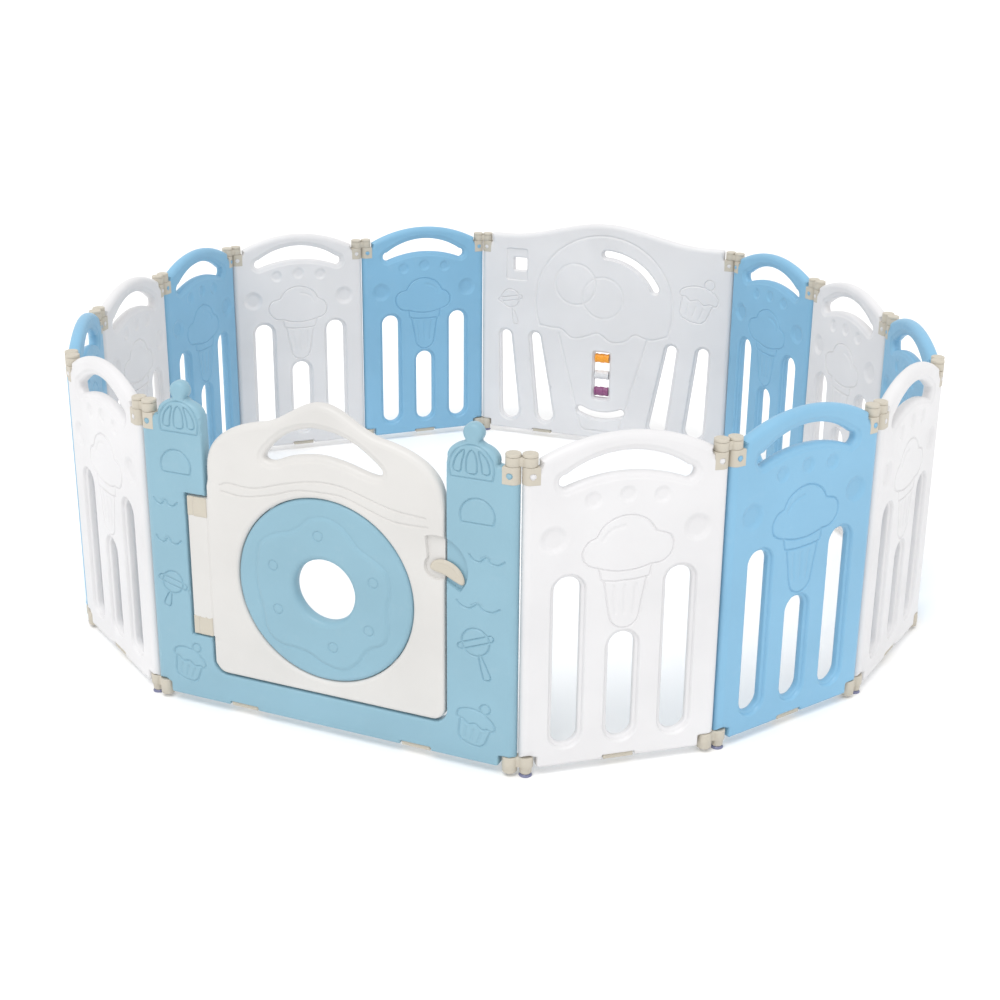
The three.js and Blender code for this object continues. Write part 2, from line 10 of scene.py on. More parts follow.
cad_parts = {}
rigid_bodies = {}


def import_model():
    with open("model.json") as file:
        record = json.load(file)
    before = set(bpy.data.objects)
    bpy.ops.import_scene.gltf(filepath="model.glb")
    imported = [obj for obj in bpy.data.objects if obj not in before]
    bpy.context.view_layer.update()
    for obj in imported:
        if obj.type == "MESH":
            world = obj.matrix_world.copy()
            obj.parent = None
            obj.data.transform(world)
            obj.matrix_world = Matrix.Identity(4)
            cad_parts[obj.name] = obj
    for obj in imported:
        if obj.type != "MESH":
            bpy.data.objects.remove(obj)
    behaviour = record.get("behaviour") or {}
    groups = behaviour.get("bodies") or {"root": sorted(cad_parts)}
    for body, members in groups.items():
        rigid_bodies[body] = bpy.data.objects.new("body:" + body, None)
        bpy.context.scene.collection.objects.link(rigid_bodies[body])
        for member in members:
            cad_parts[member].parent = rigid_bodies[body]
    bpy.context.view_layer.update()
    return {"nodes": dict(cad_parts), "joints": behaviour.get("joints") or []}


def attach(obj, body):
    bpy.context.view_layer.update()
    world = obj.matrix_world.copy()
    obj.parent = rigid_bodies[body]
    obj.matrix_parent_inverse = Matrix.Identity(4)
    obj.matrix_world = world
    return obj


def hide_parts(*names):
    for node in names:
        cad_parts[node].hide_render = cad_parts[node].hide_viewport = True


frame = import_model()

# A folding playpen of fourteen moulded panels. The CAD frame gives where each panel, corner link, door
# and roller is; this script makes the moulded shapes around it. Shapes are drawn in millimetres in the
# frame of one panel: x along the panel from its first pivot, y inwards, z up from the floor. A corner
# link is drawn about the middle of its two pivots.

MM = 0.001

# ------------------------------------------------------------------ sizes, as in the CAD model

THICKNESS = 26
HALF = THICKNESS / 2
SMALL_PITCH = 337
WIDE_PITCH = 713
UNDERSIDE = 17
SHOULDER = 579
ARCH = {"inset": 16, "foot": 590, "rise": 38}
HOLD = {"half_span": 108, "end_height": 548, "end_radius": 12, "top": 595, "bottom": 557}
SLOT = {"apart": 101, "width": 48, "low": 56, "side_high": 375, "middle_high": 261}
BRACKET = {"radius": 13.5, "reach": 15, "height": 31, "boss": 1.5}
NOTCH = {"width": 17, "height": 21.5}
LINK = {"pitch": 28, "radius": 13.5, "neck": 8, "low": 579.4, "height": 16, "cap": 6}
FOOT = {"barrel_low": 7, "low": 18, "high": 38.1, "cup_radius": 12, "stem": 6}
PAD = {"width": 56, "depth": 20, "low": 15, "high": 24}
SEAM = 0.4
GATE = 1
ACTIVITY = 8
PANELS = range(1, 15)
WHITE_PANELS = (2, 4, 6, 10, 12, 14)

TOWER = {"inner": 116, "dome_inset": 23, "dome_foot": 583, "dome_top": 612, "knob": 627, "knob_r": 18,
         "corner": 28}
SILL = 78
TAB = {"edge": 72, "low": 150, "high": 434}
DOOR = {"left": 120.5, "right": 593, "bottom": 82, "tab": 77.2, "tab_low": 154, "tab_high": 430,
        "corner": 25, "side": 480, "rise": 118, "fullness": 2.6, "hump": 42, "hump_half": 118}
HINGE = {"half_width": 20.4, "half_height": 18.8, "from_tab": 19, "proud": 0.8}
DONUT = {"radius": 176, "hole": 60, "height": 289, "half": 12, "stud_ring": 107, "stud": 9.5}
LATCH = {"x": 579, "z": 378, "reach": 54, "lean": -20, "lever_in": 2.1, "hub_in": 5.4,
         "seat_depth": 6, "seat_wall": 2.5, "seat_hub": 24, "seat_slack": 5}
CREST = {"foot": 606, "rise": 46, "half_width": 290}
ROLLERS = (("orange", 260), ("white", 210), ("purple", 160))
ROLLER = {"radius": 12, "ring": 13.4, "bore": 3.7, "half": 20.5, "flutes": 12, "flute_depth": 0.5}
WINDOW = {"width": 44, "low": 142, "high": 278}
PLAY_SLOT = {"low": 50, "high": 318}


# ------------------------------------------------------------------ where things are

def pivots():
    """Start and end of every panel and corner link, from the fold joints of the frame."""
    starts = {j["child"]: Vector(j["pos_m"]) for j in frame["joints"] if j["name"].startswith("fold")}
    ends = {j["parent"]: Vector(j["pos_m"]) for j in frame["joints"] if j["name"].startswith("fold")}
    starts["gate"] = ends["gate"] - Vector((WIDE_PITCH * MM, 0, 0))
    ends["corner_1"] = starts["gate"]
    return starts, ends


STARTS, ENDS = pivots()


def body_of_panel(number):
    """The name of the moving body that a panel belongs to."""
    return "gate" if number == GATE else f"leaf_{number}"


def panel_place(number):
    """The frame of a panel: its start pivot on the floor, x towards its end pivot."""
    body = body_of_panel(number)
    along = ENDS[body] - STARTS[body]
    turn = Matrix.Rotation(math.atan2(along.y, along.x), 4, "Z")
    return Matrix.Translation((STARTS[body].x, STARTS[body].y, 0)) @ turn


def corner_place(number):
    """The frame of a corner link: the middle of its two pivots on the floor."""
    body = f"corner_{number}"
    along = ENDS[body] - STARTS[body]
    middle = (ENDS[body] + STARTS[body]) / 2
    turn = Matrix.Rotation(math.atan2(along.y, along.x), 4, "Z")
    return Matrix.Translation((middle.x, middle.y, 0)) @ turn


# ------------------------------------------------------------------ outlines

def arc(x, z, radius, start, end, spacing=3.5):
    """Points along an arc, its angles in degrees from the x axis."""
    steps = max(2, math.ceil(abs(math.radians(end - start)) * radius / spacing))
    angles = np.radians(np.linspace(start, end, steps + 1))
    return np.stack([x + radius * np.cos(angles), z + radius * np.sin(angles)], 1)


def circle(x, z, radius, spacing=3.5):
    """A whole circle, without its last point again."""
    return arc(x, z, radius, 0, 360, spacing)[:-1]


def bow(centre, half_span, height, rise):
    """An arc bulging up between two points at one height, from left to right."""
    radius = (half_span ** 2 + rise ** 2) / (2 * rise)
    half = math.degrees(math.asin(half_span / radius))
    return arc(centre, height + rise - radius, radius, 90 + half, 90 - half)


def joined(*parts):
    """One line from several."""
    return np.concatenate([np.asarray(part, float).reshape(-1, 2) for part in parts])


def smooth_curve(points, closed=False, steps=6):
    """A Catmull-Rom curve through the points."""
    p = np.asarray(points, float)
    ring = np.concatenate([p[-1:], p, p[:2]]) if closed else np.concatenate([p[:1], p, p[-1:]])
    result = []
    for a, b, c, d in zip(ring[:-3], ring[1:-2], ring[2:-1], ring[3:]):
        for t in np.arange(steps) / steps:
            result.append(0.5 * (2 * b + (c - a) * t + (2 * a - 5 * b + 4 * c - d) * t ** 2
                                 + (3 * b - 3 * c + d - a) * t ** 3))
    if not closed:
        result.append(p[-1])
    return np.array(result)


def filleted(corners):
    """A closed outline from corners (x, z, radius), each rounded by its radius."""
    corners = [np.array(c, float) for c in corners]
    result = []
    for before, here, after in zip(corners[-1:] + corners[:-1], corners, corners[1:] + corners[:1]):
        if here[2] <= 0:
            result.append(here[:2])
            continue
        u = before[:2] - here[:2]
        v = after[:2] - here[:2]
        room = min(np.linalg.norm(u), np.linalg.norm(v)) / 2
        u /= np.linalg.norm(u)
        v /= np.linalg.norm(v)
        half = math.acos(np.clip(u @ v, -1, 1)) / 2
        cut = min(here[2] / math.tan(half), room)
        for t in np.linspace(0, 1, 6):
            a = here[:2] + u * cut * (1 - t)
            b = here[:2] + v * cut * t
            result.append(a * (1 - t) + b * t)
    return np.array(result)


def spaced(points, spacing, closed):
    """The same line with its long stretches cut up."""
    p = np.asarray(points, float)
    after = np.roll(p, -1, 0) if closed else p[1:]
    result = []
    for a, b in zip(p, after):
        steps = max(1, math.ceil(np.linalg.norm(b - a) / spacing))
        result.extend(a + (b - a) * i / steps for i in range(steps))
    if not closed:
        result.append(p[-1])
    return np.array(result)


def even(points, spacing, closed):
    """The same line with points at an even spacing."""
    p = np.asarray(points, float)
    if closed:
        p = np.concatenate([p, p[:1]])
    run = np.concatenate([[0], np.cumsum(np.linalg.norm(np.diff(p, axis=0), axis=1))])
    steps = max(3, round(run[-1] / spacing))
    at = np.linspace(0, run[-1], steps + 1)
    result = np.stack([np.interp(at, run, p[:, 0]), np.interp(at, run, p[:, 1])], 1)
    return result[:-1] if closed else result


def normals_of(points, closed):
    """The left-hand normal at each point, and how far a mitre reaches there."""
    p = np.asarray(points, float)
    if closed:
        forward = np.roll(p, -1, 0) - p
        back = p - np.roll(p, 1, 0)
    else:
        step = np.diff(p, axis=0)
        forward = np.concatenate([step, step[-1:]])
        back = np.concatenate([step[:1], step])
    forward = forward / np.maximum(np.linalg.norm(forward, axis=1), 1e-9)[:, None]
    back = back / np.maximum(np.linalg.norm(back, axis=1), 1e-9)[:, None]
    mean = forward + back
    mean = mean / np.maximum(np.linalg.norm(mean, axis=1), 1e-9)[:, None]
    reach = 1 / np.maximum(0.5, np.abs((mean * forward).sum(1)))
    return np.stack([-mean[:, 1], mean[:, 0]], 1), reach


def distance(points, line, closed):
    """How far each point is from a line, and which stretch of it is nearest."""
    p = np.asarray(line, float)
    a = p if closed else p[:-1]
    b = np.roll(p, -1, 0) if closed else p[1:]
    along = b - a
    length = np.maximum((along ** 2).sum(1), 1e-12)
    best = np.empty(len(points))
    which = np.empty(len(points), int)
    for low in range(0, len(points), 2000):
        q = points[low:low + 2000, None, :] - a[None]
        t = np.clip((q * along[None]).sum(2) / length[None], 0, 1)
        gap = ((q - along[None] * t[..., None]) ** 2).sum(2)
        which[low:low + 2000] = gap.argmin(1)
        best[low:low + 2000] = np.sqrt(gap.min(1))
    return best, which


def inside(points, loops):
    """Whether each point lies in the loops, holes left out."""
    odd = np.zeros(len(points), bool)
    for loop in loops:
        a = np.asarray(loop, float)
        b = np.roll(a, -1, 0)
        for low in range(0, len(points), 4000):
            q = points[low:low + 4000]
            spans = (a[None, :, 1] > q[:, None, 1]) != (b[None, :, 1] > q[:, None, 1])
            rise = np.where(b[:, 1] == a[:, 1], 1, b[:, 1] - a[:, 1])
            cross = a[:, 0] + (q[:, None, 1] - a[None, :, 1]) * ((b[:, 0] - a[:, 0]) / rise)[None]
            odd[low:low + 4000] ^= ((spans & (q[:, None, 0] < cross)).sum(1) % 2).astype(bool)
    return odd


# ------------------------------------------------------------------ moulded edges and marks

class Edge:
    """A closed edge of a moulded plate. reach is how wide its rounding or bevel is, in all or at each
    point, profile gives how far the face drops at a share of that reach, and shares says where the
    mesh has rows of points."""

    def __init__(self, points, reach, profile, shares, hole=False, spacing=13):
        line = spaced(points, spacing, True)
        area = (line[:, 0] * np.roll(line[:, 1], -1) - np.roll(line[:, 0], -1) * line[:, 1]).sum()
        self.line = line[::-1] if (area > 0) == hole else line
        self.reach = reach(self.line) if callable(reach) else np.full(len(self.line), float(reach))
        self.profile = profile
        self.shares = shares

    def rows(self):
        normal, mitre = normals_of(self.line, True)
        for share in self.shares:
            step = self.reach * share
            moved = self.line + normal * (step * mitre)[:, None]
            gap, _ = distance(moved, self.line, True)
            yield moved[gap > step * 0.93 - 0.05]

    def drop(self, points):
        gap, which = distance(points, self.line, True)
        reach = self.reach[which]
        return self.profile(np.clip(gap / reach, 0, 1), reach)


def rounded(share, reach):
    """A quarter-round edge."""
    return reach * (1 - np.sqrt(np.maximum(0, 1 - (1 - share) ** 2)))


def stepped(share, reach):
    """The sloping border round a slot: a small round at the wall, a flat slope, a crisp outer line."""
    return np.interp(share, [0, 0.07, 0.2, 0.55, 0.67, 0.88, 1], [9.5, 7.6, 6.8, 5.8, 3.4, 0.5, 0])


def lipped(share, reach):
    """The border round a hand hold: a fat round lip, a hollow behind it, then up to the face."""
    return np.interp(share, [0, 0.08, 0.25, 0.5, 0.68, 0.85, 1], [9.5, 6.2, 3.6, 2.6, 2.4, 0.6, 0])


ROUND_SHARES = (0.06, 0.22, 0.5, 1, 1.12)
STEPPED_SHARES = (0.07, 0.2, 0.55, 0.67, 0.88, 1, 1.12)
LIPPED_SHARES = (0.08, 0.25, 0.5, 0.68, 0.85, 1, 1.08)


def round_edge(points, reach, hole=False):
    """A rounded edge, of the plate or of a hole in it."""
    return Edge(points, reach, rounded, ROUND_SHARES, hole)


def slot_edge(points, reach=9.5):
    """The edge of a slot, with its stepped border."""
    return Edge(points, reach, stepped, STEPPED_SHARES, hole=True)


def hold_edge(points):
    """The edge of a hand hold."""
    return Edge(points, 13, lipped, LIPPED_SHARES, hole=True)


class Groove:
    """A line pressed into a face."""

    def __init__(self, points, width=5, depth=2.1, closed=False):
        self.line = even(points, 3, closed)
        self.half = width / 2
        self.depth = depth
        self.closed = closed

    def depths(self, points):
        result = np.zeros(len(points))
        low = self.line.min(0) - self.half
        high = self.line.max(0) + self.half
        near = np.all((points > low) & (points < high), 1)
        if near.any():
            gap, _ = distance(points[near], self.line, self.closed)
            result[near] = self.depth * np.maximum(0, 1 - (gap / self.half) ** 2) ** 1.6
        return result

    def rows(self):
        normal, _ = normals_of(self.line, self.closed)
        for share in (-1.3, -1, -0.5, 0, 0.5, 1, 1.3):
            yield self.line + normal * self.half * share
        if not self.closed:
            for end, before in ((self.line[0], self.line[1]), (self.line[-1], self.line[-2])):
                out = math.degrees(math.atan2(*(end - before)[::-1]))
                for share in (0.5, 1, 1.3):
                    yield arc(*end, self.half * share, out - 60, out + 60, self.half)


class Sunk:
    """A closed patch of a face pressed in, or raised where its depth is negative."""

    def __init__(self, points, depth, wall):
        line = even(points, 3, True)
        area = (line[:, 0] * np.roll(line[:, 1], -1) - np.roll(line[:, 0], -1) * line[:, 1]).sum()
        self.line = line if area > 0 else line[::-1]
        self.depth = depth
        self.wall = wall

    def depths(self, points):
        result = np.zeros(len(points))
        near = np.all((points > self.line.min(0)) & (points < self.line.max(0)), 1)
        if near.any():
            gap, _ = distance(points[near], self.line, True)
            share = np.clip(gap / self.wall, 0, 1) * inside(points[near], [self.line])
            result[near] = self.depth * share * share * (3 - 2 * share)
        return result

    def rows(self):
        normal, mitre = normals_of(self.line, True)
        for step in (-1, 0, self.wall / 3, self.wall * 2 / 3, self.wall, self.wall + 1):
            moved = self.line + normal * (step * mitre)[:, None]
            gap, _ = distance(moved, self.line, True)
            yield moved[gap > abs(step) * 0.9 - 0.05]


def dimple(x, z, radius, depth, wall):
    """A round hollow with a sloping wall."""
    return Sunk(circle(x, z, radius, 3), depth, min(wall, radius * 0.6))


# ------------------------------------------------------------------ meshes

def finished_mesh(name, vertices, faces, weld, sharp=40):
    mesh = bpy.data.meshes.new(name)
    mesh.from_pydata((np.asarray(vertices) * MM).tolist(), [], faces)
    shaped = bmesh.new()
    shaped.from_mesh(mesh)
    bmesh.ops.remove_doubles(shaped, verts=shaped.verts, dist=weld * MM)
    bmesh.ops.dissolve_degenerate(shaped, edges=shaped.edges, dist=0.01 * MM)
    shaped.to_mesh(mesh)
    shaped.free()
    mesh.shade_smooth()
    mesh.set_sharp_from_angle(angle=math.radians(sharp))
    return mesh


def scattered(edges, marks, grid, crowd):
    """All the points of a face: its edge lines first, then rows of points, then a coarse grid."""
    lines = [edge.line for edge in edges]
    rim = np.concatenate(lines)
    low, high = rim.min(0), rim.max(0)
    u = np.arange(low[0] + grid / 2, high[0], grid)
    v = np.arange(low[1] + grid / 2, high[1], grid)
    mesh_points = np.stack(np.meshgrid(u, v), -1).reshape(-1, 2)
    clear = np.min([distance(mesh_points, line, True)[0] for line in lines], 0)
    mesh_points = mesh_points[clear > grid * 0.8]
    rows = [row for edge in edges for row in edge.rows()]
    rows += [row for mark in marks for row in mark.rows()]
    inner = np.concatenate(rows + [mesh_points])
    inner = inner[inside(inner, lines)]
    gap = np.full(len(inner), np.inf)
    for line in lines:
        gap = np.minimum(gap, distance(inner, line, True)[0])
    inner = inner[gap > crowd * 0.6]
    _, first = np.unique(np.floor(inner / crowd).astype(int), axis=0, return_index=True)
    return lines, rim, inner[np.sort(first)]


def moulded_plate(name, edges, half=HALF, marks=(), back_marks=None, flat=False, middle=0,
                  grid=15, crowd=0.6, crown=None):
    """A plate of two pressed faces. It stands in the x, z plane, or lies in x, y where flat is set."""
    back_marks = marks if back_marks is None else back_marks
    every = list(dict.fromkeys(list(marks) + list(back_marks)))
    lines, rim, inner = scattered(edges, every, grid, crowd)
    points = np.concatenate([rim, inner])
    ties = []
    count = 0
    for line in lines:
        ties += [(count + i, count + (i + 1) % len(line)) for i in range(len(line))]
        count += len(line)
    made = delaunay_2d_cdt([Vector(p) for p in points], ties, [], 0, 1e-5)
    points = np.array([tuple(p) for p in made[0]])
    faces = np.array(made[2])
    faces = faces[inside(points[faces].mean(1), lines)]
    drop = np.max([edge.drop(points) for edge in edges], 0)
    top = half - drop
    if crown is not None:
        top = top + crown(points)
    heights = []
    for side in (marks, back_marks):
        pressed = np.zeros(len(points))
        raised = np.zeros(len(points))
        for mark in side:
            depth = mark.depths(points)
            pressed = np.maximum(pressed, depth)
            raised = np.minimum(raised, depth)
        sunk = np.where(pressed > 0, np.minimum(top, half - pressed), top)
        heights.append(np.maximum(sunk - raised, 0))
    near = np.column_stack([points, heights[0]])
    far = np.column_stack([points, -heights[1]])
    edges_of_faces = np.concatenate([faces[:, [0, 1]], faces[:, [1, 2]], faces[:, [2, 0]]])
    known = {(a, b) for a, b in edges_of_faces.tolist()}
    walls = [(b, a, a + len(points), b + len(points)) for a, b in known if (b, a) not in known]
    everything = np.concatenate([near, far])
    polygons = faces.tolist() + (faces[:, ::-1] + len(points)).tolist() + sorted(walls)
    if flat:
        vertices = everything + np.array([0, 0, middle])
    else:
        vertices = np.column_stack([everything[:, 0], middle - everything[:, 2], everything[:, 1]])
    return finished_mesh(name, vertices, polygons, 0.03)


def turned(name, profile, steps=40, sharp=40):
    """A body of revolution about z, from a profile of (radius, height) going up."""
    vertices = []
    faces = []
    for radius, height in profile:
        for i in range(steps):
            angle = 2 * math.pi * i / steps
            vertices.append((radius * math.cos(angle), radius * math.sin(angle), height))
    for row in range(len(profile) - 1):
        for i in range(steps):
            j = (i + 1) % steps
            a, b = row * steps, (row + 1) * steps
            faces.append((a + i, a + j, b + j, b + i))
    return finished_mesh(name, vertices, faces, 0.005, sharp)


def merged(name, parts):
    """One mesh from several (mesh, matrix) parts, each with its own smooth and sharp edges."""
    whole = bmesh.new()
    for mesh, matrix in parts:
        copy = mesh.copy()
        copy.transform(matrix)
        whole.from_mesh(copy)
        bpy.data.meshes.remove(copy)
    mesh = bpy.data.meshes.new(name)
    whole.to_mesh(mesh)
    whole.free()
    return mesh


def shifted(x=0, y=0, z=0, turn=None):
    """A move in millimetres, after a turn where one is given."""
    place = Matrix.Translation((x * MM, y * MM, z * MM))
    return place @ turn if turn is not None else place


def add_piece(name, mesh, material, place, body, slot, *nodes):
    """Puts a mesh in place and says what it rides on and stands for."""
    piece = bpy.data.objects.new(name, mesh)
    bpy.context.scene.collection.objects.link(piece)
    if not mesh.materials:
        mesh.materials.append(material)
    piece.matrix_world = place
    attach(piece, body)
    if nodes:
        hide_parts(*nodes)
    return piece


# ------------------------------------------------------------------ materials

def linear(red, green, blue):
    """Display colours, 0 to 255, as the linear values that shaders take."""
    share = [c / 255 for c in (red, green, blue)]
    return [c / 12.92 if c <= 0.04045 else ((c + 0.055) / 1.055) ** 2.4 for c in share]


def new_node(material, kind, values=None, **settings):
    """A shader node with some of its settings and socket values given."""
    node = material.node_tree.nodes.new(kind)
    for setting, value in settings.items():
        setattr(node, setting, value)
    for socket, value in (values or {}).items():
        node.inputs[socket].default_value = value
    return node


def new_material(name):
    """An empty material, its shader and the function that links its nodes."""
    material = bpy.data.materials.new(name)
    material.use_nodes = True
    return material, material.node_tree.nodes["Principled BSDF"], material.node_tree.links.new


def plastic(name, colour, roughness=0.4, grain=0.16, scuffs=0.12, clear=0.0):
    """Moulded plastic: a fine orange-peel skin, faint colour drift, and dull scuffs in patches."""
    material, shader, link = new_material(name)
    shader.inputs["IOR"].default_value = 1.5
    shader.inputs["Specular IOR Level"].default_value = 0.42
    shader.inputs["Transmission Weight"].default_value = clear
    where = new_node(material, "ShaderNodeTexCoord")

    def noise(scale, detail, rough=0.5):
        node = new_node(material, "ShaderNodeTexNoise",
                        {"Scale": scale, "Detail": detail, "Roughness": rough})
        link(where.outputs["Object"], node.inputs["Vector"])
        return node.outputs["Fac"]

    def spread(value, low, high, to_low, to_high):
        node = new_node(material, "ShaderNodeMapRange",
                        {"From Min": low, "From Max": high, "To Min": to_low, "To Max": to_high})
        link(value, node.inputs["Value"])
        return node.outputs["Result"]

    base = linear(*colour)
    mottle = 0.05
    mix = new_node(material, "ShaderNodeMix", data_type="RGBA")
    mix.inputs["A"].default_value = [c * (1 - mottle) for c in base] + [1]
    mix.inputs["B"].default_value = [min(1, c * (1 + mottle * 0.6)) for c in base] + [1]
    link(spread(noise(5, 3), 0.3, 0.7, 0, 1), mix.inputs["Factor"])

    rub = spread(noise(38, 5, 0.7), 0.56, 0.72, 0, scuffs)
    pale = new_node(material, "ShaderNodeMix", data_type="RGBA")
    pale.inputs["B"].default_value = [c * 0.6 + 0.3 for c in base] + [1]
    link(mix.outputs["Result"], pale.inputs["A"])
    link(spread(rub, 0, 1, 0, 0.6), pale.inputs["Factor"])
    link(pale.outputs["Result"], shader.inputs["Base Color"])

    dull = new_node(material, "ShaderNodeMath", operation="ADD")
    link(spread(noise(90, 2), 0.3, 0.7, roughness - 0.04, roughness + 0.05), dull.inputs[0])
    link(rub, dull.inputs[1])
    link(dull.outputs["Value"], shader.inputs["Roughness"])

    peel = new_node(material, "ShaderNodeMath", {1: 0.5}, operation="MULTIPLY_ADD")
    link(noise(900, 2), peel.inputs[0])
    link(noise(160, 2), peel.inputs[2])
    bump = new_node(material, "ShaderNodeBump", {"Strength": grain, "Distance": 0.0006})
    link(peel.outputs["Value"], bump.inputs["Height"])
    link(bump.outputs["Normal"], shader.inputs["Normal"])
    return material


def brushed(name, colour):
    """Drawn steel rod, with fine rings of wear along its length."""
    material, shader, link = new_material(name)
    shader.inputs["Base Color"].default_value = linear(*colour) + [1]
    shader.inputs["Metallic"].default_value = 1
    where = new_node(material, "ShaderNodeTexCoord")
    stretch = new_node(material, "ShaderNodeMapping", {"Scale": (1, 30, 30)})
    noise = new_node(material, "ShaderNodeTexNoise", {"Scale": 60})
    ramp = new_node(material, "ShaderNodeMapRange", {"To Min": 0.22, "To Max": 0.45})
    link(where.outputs["Object"], stretch.inputs["Vector"])
    link(stretch.outputs["Vector"], noise.inputs["Vector"])
    link(noise.outputs["Fac"], ramp.inputs["Value"])
    link(ramp.outputs["Result"], shader.inputs["Roughness"])
    bump = new_node(material, "ShaderNodeBump", {"Strength": 0.1, "Distance": 0.0003})
    link(noise.outputs["Fac"], bump.inputs["Height"])
    link(bump.outputs["Normal"], shader.inputs["Normal"])
    return material


WHITE = plastic("white_shell", (216, 215, 216))
DOOR_WHITE = plastic("door_shell", (206, 204, 201))
BLUE = plastic("blue_shell", (127, 176, 206), roughness=0.38)
GATE_BLUE = plastic("gate_shell", (134, 171, 187), roughness=0.38)
BEIGE = plastic("beige_parts", (192, 185, 171), roughness=0.48, grain=0.3, scuffs=0.2)
CUP = plastic("suction_cup", (136, 139, 172), roughness=0.22, grain=0.06, scuffs=0.08, clear=0.3)
ORANGE = plastic("orange_roller", (242, 160, 46), roughness=0.34)
PURPLE = plastic("purple_roller", (140, 80, 122), roughness=0.34)
STEEL = brushed("axle_steel", (190, 192, 196))


# ------------------------------------------------------------------ outlines of the panels

def hand_hold(centre, half_span, end_height, end_radius, top, bottom):
    """A bowed opening under a top rail, with round ends."""
    upper = bow(centre, half_span, end_height + end_radius, top - end_height - end_radius)
    lower = bow(centre, half_span, end_height - end_radius, bottom - end_height + end_radius)
    right = arc(centre + half_span, end_height, end_radius, 90, -90, 2.5)[1:-1]
    left = arc(centre - half_span, end_height, end_radius, 270, 90, 2.5)[1:-1]
    return joined(upper, right, lower[::-1], left)


def upright_slot(centre, width, low, high):
    """A straight slot with round ends."""
    r = width / 2
    return joined(arc(centre, high - r, r, 0, 180), arc(centre, low + r, r, 180, 360))


def leaning_slot(middle, side, top, bottom, top_width, bottom_width):
    """A slot that leans and widens downwards, with its two ends so far from the panel's middle."""
    low, high = PLAY_SLOT["low"], PLAY_SLOT["high"]
    upper, lower = top_width / 2, bottom_width / 2
    return joined(arc(middle + side * top, high - upper, upper, 0, 180, 2.5),
                  arc(middle + side * bottom, low + lower, lower, 180, 360, 3))


def arc_slot(centre, height, radius, start, end, width):
    """A slot bent along an arc, with round ends."""
    def cap(angle, turn):
        x = centre + radius * math.cos(math.radians(angle))
        z = height + radius * math.sin(math.radians(angle))
        return arc(x, z, width / 2, angle + turn, angle + turn + 180, 2.5)[1:-1]
    return joined(arc(centre, height, radius + width / 2, start, end), cap(end, 0),
                  arc(centre, height, radius - width / 2, end, start), cap(start, 180))


def underside_corners(length, pads):
    """The bottom edge from left to right: foot notches at both ends and a seat for each pad."""
    notch_top = UNDERSIDE + NOTCH["height"]
    corners = [(-HALF, notch_top, 0), (NOTCH["width"], notch_top, 3), (NOTCH["width"], UNDERSIDE, 5)]
    for x in pads:
        half = PAD["width"] / 2 + 1.5
        corners += [(x - half - 2, UNDERSIDE, 2), (x - half, PAD["high"], 1.5)]
        corners += [(x + half, PAD["high"], 1.5), (x + half + 2, UNDERSIDE, 2)]
    return corners + [(length - NOTCH["width"], UNDERSIDE, 5), (length - NOTCH["width"], notch_top, 3),
                      (length + HALF, notch_top, 0)]


def panel_reach(length):
    """Half-round upright ends, a round top rail, and a smaller round along the bottom."""
    def reach(points):
        ends = (points[:, 0] < 1) | (points[:, 0] > length - 1)
        bottom = points[:, 1] < UNDERSIDE + NOTCH["height"] + 1
        return np.where(ends, HALF, np.where(bottom, 5, 12))
    return reach


# ------------------------------------------------------------------ marks pressed into the panels

def ice_cream_marks(c):
    """The scoop in a cup on every narrow panel, about the panel's middle."""
    dome = [(-53, 444), (-40, 465), (-14, 479), (14, 480), (39, 468), (54, 447)]
    left = [(-53, 444), (-69, 436), (-78, 418), (-74, 401), (-63, 392), (-48, 387)]
    lower = [(-48, 387), (-25, 381), (-3, 379), (22, 381), (47, 388)]
    right = [(47, 388), (65, 390), (80, 402), (86, 420), (80, 437), (67, 444), (54, 447)]
    shine = [(-42, 437), (-35, 449), (-22, 458), (-4, 462)]
    marks = [Groove(smooth_curve(line) + (c, 0)) for line in (dome, left, lower, right)]
    marks.append(Groove(smooth_curve(shine) + (c, 0), width=9, depth=1.6))
    cup = joined([(-38, 362), (-28, 300)], arc(0, 299, 27, 180, 360), [(38, 362)])
    marks.append(Groove(cup + (c, 0)))
    marks.append(Groove(np.array([(-48, 386), (-43, 364), (-20, 361), (20, 362), (44, 366), (47, 386)])
                        + (c, 0)))
    for x in (-20, 0, 20):
        flute = [(c + x, 351), (c + x * 0.8, 300)]
        marks.append(Groove(flute, width=9, depth=1.4))
    return marks


def narrow_panel_marks(c):
    """The picture of a narrow panel, with three small dimples over it and two large ones beside it."""
    small = [dimple(c + x, z, 17, 3.6, 8) for x, z in ((-61.5, 513), (0, 519), (61.5, 513))]
    large = [dimple(c + x, 447, 27, 5.5, 12) for x in (-128.5, 128.5)]
    return ice_cream_marks(c) + small + large


def cupcake_marks(c, low, scale=1.0, cherry=10, tilt=-14):
    """A small leaning cupcake: a pleated case, a wavy top and a cherry."""
    lean = math.radians(tilt)

    def at(points):
        return np.array([(c + (x * math.cos(lean) - (z - 40) * math.sin(lean)) * scale,
                          low + (40 + x * math.sin(lean) + (z - 40) * math.cos(lean)) * scale)
                         for x, z in points], float)

    case = at([(-30, 40), (-26, 10), (-19, 1), (0, -2), (19, 1), (26, 10), (30, 40)])
    top = smooth_curve(at([(-36, 42), (-36, 56), (-20, 66), (2, 68), (22, 62), (36, 50), (34, 40),
                           (24, 41), (14, 36), (0, 42), (-13, 36), (-24, 42)]), closed=True)
    marks = [Groove(case, width=5.5), Groove(top, width=5.5, closed=True)]
    marks += [Groove(at([(x, 29), (x * 0.85, 8)]), width=7, depth=1.6) for x in (-15, 0, 15)]
    ball = circle(*at([(cherry, 77)])[0], 9.5 * scale, 2.5)
    marks.append(Groove(ball, closed=True))
    return marks


